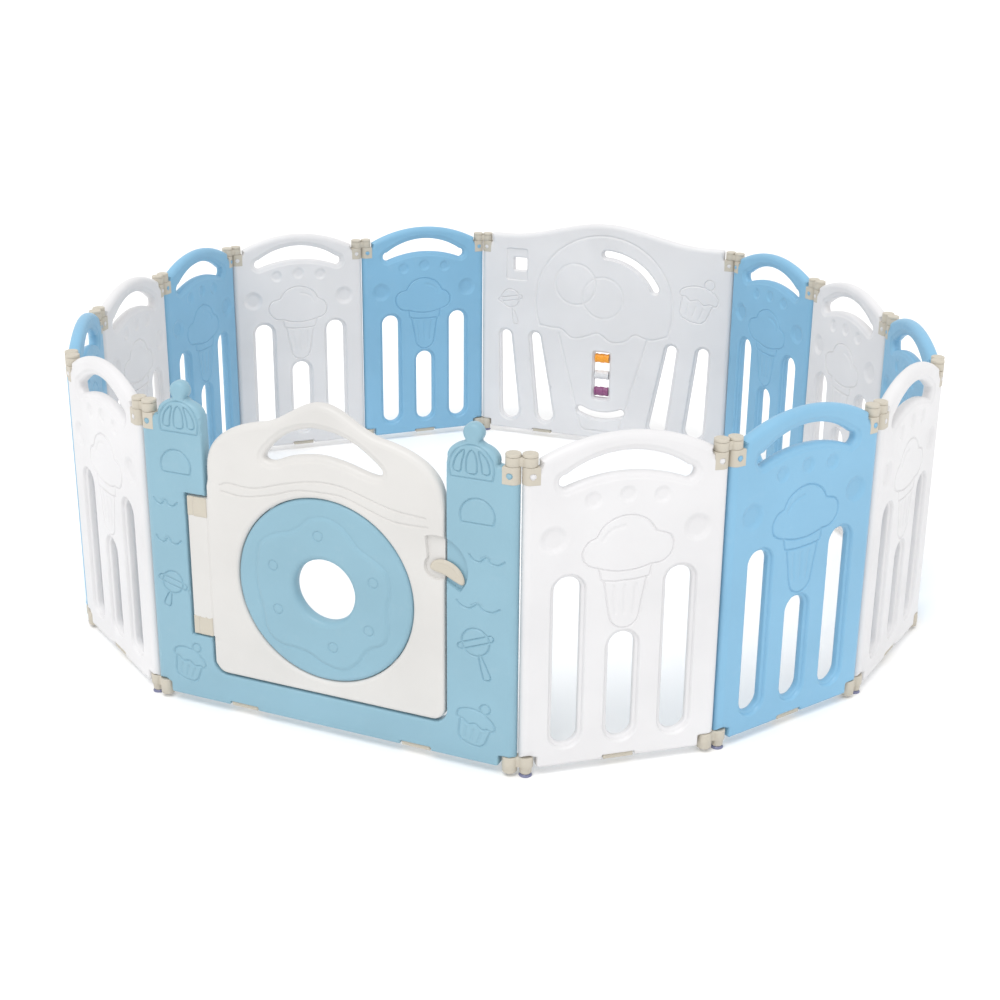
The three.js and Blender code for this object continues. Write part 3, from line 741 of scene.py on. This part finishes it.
def lollipop_marks(x, z, radius, stick, tilt):
    """A ball with a ribbon across it on a slanting stick."""
    marks = [Groove(circle(x, z, radius), closed=True)]
    half = radius * 1.15
    lean = Matrix.Rotation(math.radians(tilt), 2)
    band = joined(arc(half, 0, 6, -90, 90, 2.5), arc(-half, 0, 6, 90, 270, 2.5)) @ np.array(lean).T
    marks.append(Groove(spaced(band, 4, True) + (x, z), width=4, closed=True))
    foot = np.array(stick, float)
    down = (foot - (x, z)) / np.linalg.norm(foot - (x, z))
    aside = np.array([-down[1], down[0]])
    start = np.array([x, z]) + down * (radius + 2)
    paddle = [start + aside * 2.5, foot + aside * 7 - down * 8, foot + aside * 5, foot - aside * 5,
              foot - aside * 7 - down * 8, start - aside * 2.5]
    marks.append(Groove(smooth_curve(paddle, closed=True, steps=4), width=3.8, closed=True))
    return marks


def wave_mark(x, z, width):
    """A small wave of icing with a shorter line over it."""
    shares = ((0, 0.5), (0.1, -0.2), (0.3, -0.45), (0.48, 0.35), (0.62, -0.4), (0.82, -0.5), (1, 0.15))
    points = [(x + share * width, z + rise * 12) for share, rise in shares]
    crest = [(x + share * width, z + rise * 12) for share, rise in ((0.32, 0.1), (0.46, 0.6), (0.6, 0.2))]
    return [Groove(smooth_curve(points)), Groove(smooth_curve(crest), width=3.6, depth=1.1)]


def half_disc(c, half_width, low, high):
    """A window outline: flat below, round above."""
    rise = (high - low) * 0.72
    arch = np.array([(c + half_width * math.cos(a), high - rise + rise * math.sin(a))
                     for a in np.linspace(0, math.pi, 24)])
    return joined([(c - half_width + 3, low), (c + half_width - 3, low)], arch)


def dome_marks(c):
    """The awning on a tower's dome: an outline with three ribs in it."""
    marks = [Groove(half_disc(c, 41, 549, 608), closed=True)]
    middle = [(0, 599), (8, 587), (10, 567), (7, 558), (-7, 558), (-10, 567), (-8, 587)]
    side = [(13, 598), (27, 586), (33, 568), (31, 560), (20, 560), (18, 574)]
    for flip, petal in ((1, middle), (1, side), (-1, side)):
        outline = smooth_curve([(c + flip * x, z) for x, z in petal], closed=True)
        marks.append(Groove(outline, width=4, closed=True))
    return marks


def tower_marks(dome, window, waves, lolly, cake):
    """The pictures on one tower, from the awning down."""
    marks = dome_marks(dome) + [Groove(half_disc(window, 32, 470, 515), closed=True)]
    for x, z, width in waves:
        marks += wave_mark(x, z, width)
    return marks + lollipop_marks(*lolly) + cupcake_marks(*cake)


# ------------------------------------------------------------------ narrow panels

def narrow_shell():
    """A narrow panel: an arched top over a hand hold, and three slots."""
    c = SMALL_PITCH / 2
    inset = ARCH["inset"]
    arch = bow(c, c - inset, ARCH["foot"], ARCH["rise"])
    body = filleted(underside_corners(SMALL_PITCH, [c])
                    + [(SMALL_PITCH + HALF, SHOULDER - 1, 0), (SMALL_PITCH - inset, SHOULDER - 1, 0)])
    outline = joined(body, arch[::-1], [(inset, SHOULDER - 1), (-HALF, SHOULDER - 1)])
    edges = [
        round_edge(outline, panel_reach(SMALL_PITCH)),
        hold_edge(hand_hold(c, **HOLD)),
        slot_edge(upright_slot(c - SLOT["apart"], SLOT["width"], SLOT["low"], SLOT["side_high"])),
        slot_edge(upright_slot(c, SLOT["width"], SLOT["low"], SLOT["middle_high"])),
        slot_edge(upright_slot(c + SLOT["apart"], SLOT["width"], SLOT["low"], SLOT["side_high"])),
    ]
    return moulded_plate("narrow_shell", edges, marks=narrow_panel_marks(c))


def boss(across):
    """The panel's round boss that shows through a bracket."""
    profile = [(0, 0), (4.2, 0), (4.2, 13.4), (3.6, 13.9), (2, 14.2), (0, 14.3)]
    turn = Matrix.Rotation(math.radians(90 * across), 4, "X")
    return turned("boss", profile, 20), turn


def with_bosses(shell, name, length):
    """The shell with its four bosses, two at each top corner."""
    parts = [(shell, Matrix())]
    for x in (BRACKET["boss"], length - BRACKET["boss"]):
        for across in (-1, 1):
            mesh, turn = boss(across)
            parts.append((mesh, shifted(x, 0, SHOULDER - BRACKET["height"] / 2, turn)))
    return merged(name, parts)


def bracket_mesh():
    """A beige bracket over the top corner, round at its back, drawn for a panel's start."""
    low = SHOULDER - BRACKET["height"]
    outline = filleted([(-BRACKET["radius"], low, 0), (BRACKET["reach"], low, 1.5),
                        (BRACKET["reach"], SHOULDER, 1.5), (-BRACKET["radius"], SHOULDER, 0)])
    edge = Edge(outline, 1, rounded, ROUND_SHARES, spacing=4)
    middle = SHOULDER - BRACKET["height"] / 2
    hole = Sunk(circle(BRACKET["boss"], middle, 5.6, 1.5), 2.2, 0.6)

    def round_back(points):
        x = np.clip(points[:, 0] / BRACKET["radius"], -1, 0)
        return -BRACKET["radius"] * (1 - np.sqrt(1 - x * x))

    return moulded_plate("bracket", [edge], BRACKET["radius"], [hole], grid=2.5, crowd=0.5,
                         crown=round_back)


def pad_mesh():
    """A non-slip pad with a pressed line along each face, drawn about its own middle."""
    half = PAD["width"] / 2
    outline = filleted([(-half, PAD["low"], 2), (half, PAD["low"], 2), (half, PAD["high"], 0.8),
                        (-half, PAD["high"], 0.8)])
    return moulded_plate("pad", [round_edge(outline, 1.6)], PAD["depth"] / 2, grid=5, crowd=0.5,
                         marks=[Groove([(-half + 6, 19), (half - 6, 19)], width=3, depth=0.8)])


def build_panels():
    """The brackets and floor pads of all panels, and the shells of the narrow ones."""
    white_shell = with_bosses(narrow_shell(), "white_narrow_shell", SMALL_PITCH)
    blue_shell = white_shell.copy()
    pad = pad_mesh()
    bracket = bracket_mesh()
    half_turn = Matrix.Rotation(math.pi, 4, "Z")
    for number in PANELS:
        place = panel_place(number)
        body = body_of_panel(number)
        length = WIDE_PITCH if number in (GATE, ACTIVITY) else SMALL_PITCH
        add_piece(f"bracket_{number}_start", bracket, BEIGE, place, body, "beige")
        far = place @ shifted(length, 0, 0, half_turn)
        add_piece(f"bracket_{number}_end", bracket, BEIGE, far, body, "beige")
        if number in (GATE, ACTIVITY):
            kind = "gate" if number == GATE else "activity"
            for i, x in enumerate((length / 4, length * 3 / 4)):
                add_piece(f"{kind}_floor_pad_{i + 1}", pad, BEIGE, place @ shifted(x), body, "beige",
                          f"{kind}_pad_{i + 1}")
            continue
        white = number in WHITE_PANELS
        shell, look, slot = (white_shell, WHITE, "white") if white else (blue_shell, BLUE, "blue")
        add_piece(f"shell_{number}", shell, look, place, body, slot, f"panel_{number}")
        add_piece(f"floor_pad_{number}", pad, BEIGE, place @ shifted(length / 2), body, "beige")


# ------------------------------------------------------------------ gate

def tower_top(inner, outer):
    """One tower's top from its inner to its outer side: a dome with a ball on it."""
    c = (inner + outer) / 2
    across = outer - c
    rise = TOWER["dome_top"] - TOWER["dome_foot"]
    ball_start, ball_end = (222, -42) if across > 0 else (-42, 222)

    def dome(start, end):
        points = arc(0, 0, 1, start, end, 0.12)
        return np.stack([c + points[:, 0] * across, TOWER["dome_foot"] + points[:, 1] * rise], 1)

    ball = arc(c, TOWER["knob"], TOWER["knob_r"], ball_start, ball_end)
    return joined(dome(180, 115), ball, dome(65, 0))


def latch_seat():
    """The sunk seat of the latch lever, which the door and the tower share, over its whole turn."""
    x, z = LATCH["x"], LATCH["z"]
    outline = joined(arc(x, z, LATCH["seat_hub"], 140, 300),
                     arc(x, z, LATCH["reach"] + LATCH["seat_slack"], -42, 112))
    return Sunk(outline, LATCH["seat_depth"], LATCH["seat_wall"])


def gate_shell():
    """The gate frame: two towers joined by a low sill, with a cut-out for the door's hinges."""
    length = WIDE_PITCH
    right = length - TOWER["inner"]
    corner = TOWER["corner"]
    outline = joined(
        filleted(underside_corners(length, [length / 4, length * 3 / 4])
                 + [(length + HALF, SHOULDER - 1, 0)]),
        [(length - TOWER["dome_inset"], SHOULDER - 1)],
        tower_top(right, length - TOWER["dome_inset"])[::-1],
        arc(right - corner, SILL + corner, corner, 0, -90),
        arc(TOWER["inner"] + corner, SILL + corner, corner, 270, 180),
        [(TOWER["inner"], TAB["low"]), (TAB["edge"], TAB["low"])],
        [(TAB["edge"], TAB["high"]), (TOWER["inner"], TAB["high"])],
        tower_top(TOWER["inner"], TOWER["dome_inset"]),
        [(TOWER["dome_inset"], SHOULDER - 1), (-HALF, SHOULDER - 1)],
    )

    def reach(points):
        x = np.minimum(points[:, 0], length - points[:, 0])
        result = np.where(x < 1, HALF, np.where(points[:, 1] > SHOULDER - 2, 9, 4))
        return np.where((x > TAB["edge"] - 1) & (points[:, 1] < SHOULDER - 20) & (x >= 1), 3.5, result)

    marks = tower_marks(643.5, 654.5, [(640, 407, 65), (617, 318, 80)],
                        (652, 250, 26, (675, 182), 22), (652, 50, 1.0))
    marks += tower_marks(69.5, 58, [(6, 410, 50), (6, 335, 54)],
                         (36, 250, 22, (20, 200), -15), (62, 52, 0.95))
    front = marks + [latch_seat()]
    return moulded_plate("gate_shell", [round_edge(outline, reach)], marks=front, back_marks=marks)


def door_outline():
    """The door: a full bowed top with a hump in its middle, and a tab for the hinges at its left."""
    left, right = DOOR["left"], DOOR["right"]
    c = (left + right) / 2
    half = (right - left) / 2
    top = []
    for share in np.cos(np.linspace(0, math.pi, 90)):
        lift = (1 - abs(share) ** DOOR["fullness"]) ** (1 / DOOR["fullness"])
        beside = min(1, abs(share) * half / DOOR["hump_half"])
        hump = DOOR["hump"] * math.cos(beside * math.pi / 2) ** 2
        top.append((c + half * share, DOOR["side"] + DOOR["rise"] * lift + hump))
    r = DOOR["corner"]
    return joined(arc(left + r, DOOR["bottom"] + r, r, 180, 270),
                  arc(right - r, DOOR["bottom"] + r, r, 270, 360),
                  top, [(left, DOOR["tab_high"]), (DOOR["tab"], DOOR["tab_high"])],
                  [(DOOR["tab"], DOOR["tab_low"]), (left, DOOR["tab_low"])])


def door_shell():
    """The door's shell, with its hand hold, a seat for the round inset and two pressed lines."""
    c = (DOOR["left"] + DOOR["right"]) / 2

    def reach(points):
        tab = points[:, 0] < DOOR["left"] + 1
        return np.where(points[:, 1] > 470, 11, np.where(tab, 4, 6))

    leaf = smooth_curve([(243, 530), (262, 554), (290, 576), (322, 589), (350, 593), (385, 589),
                         (420, 577), (452, 556), (474, 536), (470, 524), (448, 525), (400, 538),
                         (352, 544), (300, 536), (264, 522), (247, 521)], closed=True)
    seat = circle(c, DONUT["height"], DONUT["radius"] + 0.5)
    upper = smooth_curve([(152, 462), (168, 467), (220, 465), (290, 485), (350, 497), (400, 495),
                          (450, 481), (500, 468), (558, 463)])
    lower = smooth_curve([(152, 450), (200, 446), (260, 459), (305, 474), (350, 478), (400, 477),
                          (450, 461), (500, 447), (562, 447)])
    marks = [Groove(upper, width=6, depth=1.8), Groove(lower, width=6, depth=1.8)]
    marks.append(Groove([(120, 155), (120, 429)], width=5, depth=1.2))
    rim = Edge(seat, 7, rounded, ROUND_SHARES, hole=True)
    edges = [round_edge(door_outline(), reach), hold_edge(leaf), rim]
    front = marks + [latch_seat()]
    return moulded_plate("door_shell", edges, marks=front, back_marks=marks)


def donut_shell():
    """The round inset: a ring with raised icing and small round studs on it."""
    c = (DOOR["left"] + DOOR["right"]) / 2
    z = DONUT["height"]
    drawn_about = 357
    offset = c - drawn_about
    icing = [(230, 365), (258, 385), (290, 395), (312, 408), (330, 425), (360, 433), (385, 428),
             (400, 418), (417, 400), (430, 385), (460, 368), (482, 352), (489, 330), (489, 305),
             (484, 280), (484, 255),
             (486, 230), (475, 207), (450, 194), (436, 180), (425, 162), (405, 145), (382, 140), (350, 147),
             (325, 160), (300, 166), (268, 168), (245, 180), (234, 200), (231, 225), (224, 255), (219, 285),
             (219, 310), (222, 338)]
    wave = smooth_curve([(x + offset, y) for x, y in icing], closed=True, steps=4)
    marks = [Sunk(wave, -2.6, 8), Groove(wave, width=6, depth=0.7, closed=True)]
    for angle in (94, 20, -33, -81, -152, 161):
        x = c + DONUT["stud_ring"] * math.cos(math.radians(angle))
        y = z + DONUT["stud_ring"] * math.sin(math.radians(angle))
        marks.append(Groove(circle(x, y, DONUT["stud"], 2.5), width=4.5, depth=1.4, closed=True))
    edges = [round_edge(circle(c, z, DONUT["radius"]), 8),
             round_edge(circle(c, z, DONUT["hole"]), 11, True)]
    return moulded_plate("donut_shell", edges, DONUT["half"], marks=marks)


def hinge_block_mesh():
    """A door hinge block about its own middle, with an upright pressed line near one side."""
    half_width, half_height = HINGE["half_width"], HINGE["half_height"]
    outline = filleted([(-half_width, -half_height, 2), (half_width, -half_height, 2),
                        (half_width, half_height, 2), (-half_width, half_height, 2)])
    marks = [Groove([(-8, -half_height), (-8, half_height)], width=2.4, depth=0.9)]
    return moulded_plate("hinge_block", [round_edge(outline, 1.5)], HALF + HINGE["proud"], marks=marks,
                         grid=5, crowd=0.5)


def lever_mesh():
    """The latch lever, a crescent with a swollen face, about the latch pivot."""
    lean = np.array(Matrix.Rotation(math.radians(LATCH["lean"]), 2)).T
    leaf = [(-12, -3), (-9, 8), (2, 17), (18, 21), (36, 18), (50, 8), (56, -3), (52, -9), (38, -9),
            (18, -7), (2, -9), (-9, -9)]
    outline = smooth_curve(np.array(leaf) @ lean, closed=True, steps=5)
    shine = smooth_curve(np.array([(0, 8), (16, 13), (32, 10), (45, 2)]) @ lean)
    marks = [Groove(shine, width=3.4, depth=0.5)]
    return moulded_plate("lever", [round_edge(outline, 5)], 3.4, marks, (), grid=4, crowd=0.5)


def hub_mesh():
    """The white hub of the latch lever, a stepped disc."""
    profile = [(0, 0), (7.6, 0), (7.6, 4.4), (7, 5.2), (5, 5.6), (4.6, 5.2), (2, 5.2), (1.6, 5.8), (0, 6)]
    return turned("hub", profile, 32)


def build_gate():
    """The gate frame and its door, with the inset, the hinge blocks and the latch."""
    place = panel_place(GATE)
    shell = with_bosses(gate_shell(), "gate_with_bosses", WIDE_PITCH)
    add_piece("gate_towers", shell, GATE_BLUE, place, "gate", "gate_blue", "gate_frame")
    add_piece("door_panel", door_shell(), DOOR_WHITE, place, "door", "door_white", "gate_door")
    add_piece("donut_inset", donut_shell(), GATE_BLUE, place, "door", "gate_blue", "door_donut")
    block = hinge_block_mesh()
    x = (DOOR["tab"] + DOOR["left"] - SEAM) / 2
    heights = {"upper": DOOR["tab_high"] - HINGE["from_tab"], "lower": DOOR["tab_low"] + HINGE["from_tab"]}
    for name, z in heights.items():
        add_piece(f"hinge_block_{name}", block, BEIGE, place @ shifted(x, 0, z), "door", "beige",
                  f"door_hinge_{name}")
    lever = place @ shifted(LATCH["x"], LATCH["lever_in"] - HALF, LATCH["z"])
    add_piece("lever_crescent", lever_mesh(), BEIGE, lever, "latch", "beige", "latch_lever")
    facing = Matrix.Rotation(math.radians(90), 4, "X")
    hub = place @ shifted(LATCH["x"], LATCH["hub_in"] - HALF, LATCH["z"], facing)
    add_piece("latch_hub", hub_mesh(), DOOR_WHITE, hub, "door", "door_white", "latch_pin")


# ------------------------------------------------------------------ activity panel

def activity_marks(c):
    """The big sundae with a small cake and a lollipop beside it, as seen from outside the ring."""
    broad = {"width": 9, "depth": 2.3}
    marks = [Groove(arc(c, 416, 203, -21, 201), **broad)]
    drip = smooth_curve([(c - 190, 345), (c - 150, 331), (c - 122, 333), (c - 95, 340), (c - 66, 318),
                         (c - 26, 312), (c + 2, 330), (c + 20, 335), (c + 44, 325), (c + 74, 315),
                         (c + 98, 318), (c + 124, 338), (c + 154, 340), (c + 190, 345)])
    marks.append(Groove(drip, **broad))
    cup = joined([(c - 132, 325), (c - 62, 62)], arc(c - 42, 60, 20, 190, 270),
                 arc(c + 42, 60, 20, 270, 350), [(c + 62, 62), (c + 132, 325)])
    marks.append(Groove(cup, **broad))
    for x, z in ((c + 2, 440), (c + 84, 474)):
        marks.append(Groove(circle(x, z, 60), width=9, depth=2, closed=True))
    marks += lollipop_marks(c + 280, 416, 27, (c + 262, 342), -12)
    marks += cupcake_marks(c - 272, 396, 1.5, -12, tilt=16)
    frame_round_peephole = filleted([(c + 228, 470, 8), (c + 294, 470, 8), (c + 294, 566, 8),
                                     (c + 228, 566, 8)])
    marks.append(Sunk(frame_round_peephole, 3, 2.5))
    return marks


def activity_shell():
    """The wide play panel, with its crest, slots, peephole and the window for the rollers."""
    c = WIDE_PITCH / 2
    inset = ARCH["inset"]
    crest = [(c + share * CREST["half_width"],
              CREST["foot"] + CREST["rise"] * math.cos(share * math.pi / 2) ** 2, 0)
             for share in np.linspace(1, -1, 60)]
    outline = filleted(
        underside_corners(WIDE_PITCH, [WIDE_PITCH / 4, WIDE_PITCH * 3 / 4])
        + [(WIDE_PITCH + HALF, SHOULDER - 1, 0), (WIDE_PITCH - inset, SHOULDER - 1, 0),
           (WIDE_PITCH - inset, CREST["foot"], 9)]
        + crest + [(inset, CREST["foot"], 9), (inset, SHOULDER - 1, 0), (-HALF, SHOULDER - 1, 0)])
    edges = [round_edge(outline, panel_reach(WIDE_PITCH))]
    for side in (-1, 1):
        edges.append(slot_edge(leaning_slot(c, side, 294, 279, 30, 52)))
        edges.append(slot_edge(leaning_slot(c, side, 203, 170, 28, 48)))
    edges.append(slot_edge(arc_slot(c, 398, 169, 92, 152, 20), 6))
    edges.append(slot_edge(arc_slot(c, 231, 144, 245, 295, 20), 6))
    edges.append(slot_edge(filleted([(c + 233.5, 500, 4), (c + 270.5, 500, 4), (c + 270.5, 537, 4),
                                     (c + 233.5, 537, 4)]), 5))
    w = WINDOW["width"] / 2
    edges.append(slot_edge(filleted([(c - w, WINDOW["low"], 4), (c + w, WINDOW["low"], 4),
                                     (c + w, WINDOW["high"], 4), (c - w, WINDOW["high"], 4)]), 7))
    return moulded_plate("activity_shell", edges, marks=activity_marks(c))


def roller_mesh():
    """A fluted roller along x about its own middle, with three smooth rings and a bore."""
    half, fluted, ring = ROLLER["half"], ROLLER["radius"], ROLLER["ring"]
    vertices = []
    faces = []
    left = [(-half, ROLLER["bore"]), (-half, fluted), (-half + 1.2, ring - 0.2), (-half + 5, ring),
            (-half + 6, fluted), (-6, fluted), (-5, ring)]
    stations = left + [(-x, radius) for x, radius in reversed(left)]
    steps = 48
    for x, radius in stations:
        for i in range(steps):
            angle = 2 * math.pi * i / steps
            flute = 0
            if radius == fluted and abs(x) < half - 2:
                flute = ROLLER["flute_depth"] * math.cos(ROLLER["flutes"] * angle)
            vertices.append((x, (radius + flute) * math.cos(angle), (radius + flute) * math.sin(angle)))
    rows = len(stations)
    for row in range(rows):
        a, b = row * steps, ((row + 1) % rows) * steps
        for i in range(steps):
            j = (i + 1) % steps
            faces.append((a + i, a + j, b + j, b + i))
    return finished_mesh("roller", vertices, faces, 0.005)


def build_activity():
    """The play panel and its rollers. The axles stay as the CAD has them, in steel."""
    place = panel_place(ACTIVITY)
    shell = with_bosses(activity_shell(), "activity_with_bosses", WIDE_PITCH)
    add_piece("activity_sheet", shell, WHITE, place, "leaf_8", "white", "activity_panel")
    roller = roller_mesh()
    looks = {"orange": ORANGE, "white": WHITE, "purple": PURPLE}
    bodies = ("roller_top", "roller_middle", "roller_bottom")
    for (colour, height), body in zip(ROLLERS, bodies):
        at = place @ shifted(WIDE_PITCH / 2, 0, height)
        add_piece(f"spinner_{colour}", roller.copy(), looks[colour], at, body, colour, f"roller_{colour}")
    for number in (1, 2, 3):
        frame["nodes"][f"roller_axle_{number}"].data.materials.clear()
        frame["nodes"][f"roller_axle_{number}"].data.materials.append(STEEL)


# ------------------------------------------------------------------ corners

def link_outline():
    """Two round lobes joined by a narrow waist."""
    waist = math.degrees(math.asin(LINK["neck"] / LINK["radius"]))
    half = LINK["pitch"] / 2
    return joined(arc(-half, 0, LINK["radius"], waist, 360 - waist, 2),
                  arc(half, 0, LINK["radius"], 180 + waist, 540 - waist, 2))


def cap_mesh():
    """The round cap on a lobe: a dark seam under it, a soft edge, and a shallow dish in its top."""
    r = LINK["radius"]
    low = LINK["low"] + LINK["height"]
    top = low + LINK["cap"]
    profile = [(0, low - 1), (r - 1.6, low - 1), (r - 1.6, low + 0.8), (r, low + 0.8), (r, top - 1.6),
               (r - 0.5, top - 0.6), (r - 1.6, top), (r - 4, top), (r - 5, top - 0.7), (2.5, top - 0.7),
               (1.5, top - 0.2), (0, top)]
    return turned("cap", profile)


def hinge_link_mesh():
    """The upper link, with a round cap on each lobe."""
    half = LINK["height"] / 2
    middle = LINK["low"] + half
    body = moulded_plate("link_body", [round_edge(link_outline(), 1.2)], half, flat=True, middle=middle,
                         grid=5, crowd=0.5)
    caps = [(cap_mesh(), shifted(x)) for x in (-LINK["pitch"] / 2, LINK["pitch"] / 2)]
    return merged("hinge_link", [(body, Matrix())] + caps)


def foot_link_mesh(side):
    """The lower link: a low barrel on one lobe, and the seat of the suction cup on the other."""
    half = (FOOT["high"] - FOOT["low"]) / 2
    middle = FOOT["low"] + half
    body = moulded_plate("foot_body", [round_edge(link_outline(), 1.4)], half, flat=True, middle=middle,
                         grid=5, crowd=0.5)
    r = LINK["radius"]
    low, seam = FOOT["barrel_low"], FOOT["high"] - 8
    barrel = turned("barrel", [(0, low), (r - 2, low), (r - 0.6, low + 0.8), (r, low + 2), (r, 16),
                               (r + 0.4, 17), (r + 0.4, seam), (r, seam + 0.8), (r - 1, seam + 1),
                               (0, seam + 1)])
    collar = turned("collar", [(0, 5.5), (9.6, 5.5), (10.6, 6.6), (11.4, 19), (0, 19)], 32)
    lobe = LINK["pitch"] / 2
    parts = [(body, Matrix()), (barrel, shifted(-side * lobe)), (collar, shifted(side * lobe))]
    return merged("foot_link", parts)


def cup_mesh():
    """A suction cup: a thin flared skirt under a short stem, hollow below, with a lifting tab."""
    r = FOOT["cup_radius"]
    outer = [(0, 1.6), (5, 2.2), (9, 1.2), (r - 0.4, 0), (r, 0.3), (r, 1), (r - 0.8, 2.4), (r - 2, 4),
             (8.4, 5), (FOOT["stem"], 5.3), (FOOT["stem"], 12), (0, 12)]
    skirt = turned("skirt", outer, 40, 50)
    tab_outline = filleted([(8, -3.4, 1), (15, -3, 3), (15, 3, 3), (8, 3.4, 1)])
    tab = moulded_plate("tab", [round_edge(tab_outline, 0.5)], 0.7, flat=True, middle=1.5, grid=3,
                        crowd=0.4)
    return merged("cup", [(skirt, Matrix()), (tab, Matrix())])


def build_corners():
    """An upper link, a foot link and a suction cup at every corner. The cup is under the link's far lobe
    up to the play panel and under its near lobe past it, going round from the gate."""
    link = hinge_link_mesh()
    feet = {side: foot_link_mesh(side) for side in (-1, 1)}
    cup = cup_mesh()
    inward = Matrix.Rotation(math.radians(90), 4, "Z")
    for number in PANELS:
        place = corner_place(number)
        body = f"corner_{number}"
        side = 1 if 2 <= number <= ACTIVITY else -1
        add_piece(f"top_link_{number}", link, BEIGE, place, body, "beige", f"hinge_link_{number}")
        add_piece(f"low_link_{number}", feet[side], BEIGE, place, body, "beige", f"foot_link_{number}")
        cup_place = place @ shifted(side * LINK["pitch"] / 2, 0, 0, inward)
        add_piece(f"cup_{number}", cup, CUP, cup_place, body, "suction_cup")


# ------------------------------------------------------------------ camera, light and floor

CAMERA = {"place": (1170.9, -2033.3, 1385.2), "azimuth": -21.62, "down": 17.62, "roll": 0.784,
          "sensor": 36, "lens": 51.17904, "shift": (-0.01905, -0.09887)}


def build_camera():
    """The camera, placed from the middle of the gate's foot in millimetres, with its angles in degrees."""
    data = bpy.data.cameras.new("camera")
    camera = bpy.data.objects.new("camera", data)
    bpy.context.scene.collection.objects.link(camera)
    data.sensor_width = CAMERA["sensor"]
    data.lens = CAMERA["lens"]
    data.shift_x, data.shift_y = CAMERA["shift"]
    gate = panel_place(GATE) @ Vector((WIDE_PITCH / 2 * MM, 0, 0))
    camera.location = gate + Vector(CAMERA["place"]) * MM
    azimuth, down, roll = (math.radians(CAMERA[k]) for k in ("azimuth", "down", "roll"))
    level = Vector((math.sin(azimuth), math.cos(azimuth), 0))
    forward = level * math.cos(down) - Vector((0, 0, math.sin(down)))
    right = forward.cross(Vector((0, 0, 1))).normalized()
    up = right.cross(forward)
    x = math.cos(roll) * right + math.sin(roll) * up
    y = -math.sin(roll) * right + math.cos(roll) * up
    turn = Matrix((x, y, -forward)).transposed()
    camera.matrix_world = Matrix.Translation(camera.location) @ turn.to_4x4()
    bpy.context.scene.camera = camera


def add_sun(name, source, softness, power):
    """Even light from one side, its shadows softened by the width of the source in degrees."""
    data = bpy.data.lights.new(name, "SUN")
    data.energy = power
    data.angle = math.radians(softness)
    light = bpy.data.objects.new(name, data)
    bpy.context.scene.collection.objects.link(light)
    light.rotation_euler = Vector(source).to_track_quat("Z", "Y").to_euler()


def build_studio():
    """Soft daylight from all round, two wide suns and a pale floor."""
    world = bpy.data.worlds.new("studio")
    world.use_nodes = True
    world.node_tree.nodes["Background"].inputs["Color"].default_value = (1, 1, 1, 1)
    world.node_tree.nodes["Background"].inputs["Strength"].default_value = 1.0
    bpy.context.scene.world = world
    add_sun("key", (-0.2, -2.4, 4.6), 30, 1.1)
    add_sun("fill", (2, -2, 2.5), 60, 0.2)
    mesh = bpy.data.meshes.new("floor")
    size = 300
    corners = [(-size, -size, 0), (size, -size, 0), (size, size, 0), (-size, size, 0)]
    mesh.from_pydata(corners, [], [(0, 1, 2, 3)])
    floor = bpy.data.objects.new("floor", mesh)
    bpy.context.scene.collection.objects.link(floor)
    material, shader, _ = new_material("pale_floor")
    shader.inputs["Base Color"].default_value = (0.97, 0.97, 0.97, 1)
    shader.inputs["Roughness"].default_value = 0.6
    shader.inputs["Specular IOR Level"].default_value = 0.2
    mesh.materials.append(material)
    bpy.context.scene.view_settings.view_transform = "Standard"


# ------------------------------------------------------------------ everything

build_camera()
build_studio()
build_panels()
build_gate()
build_activity()
build_corners()
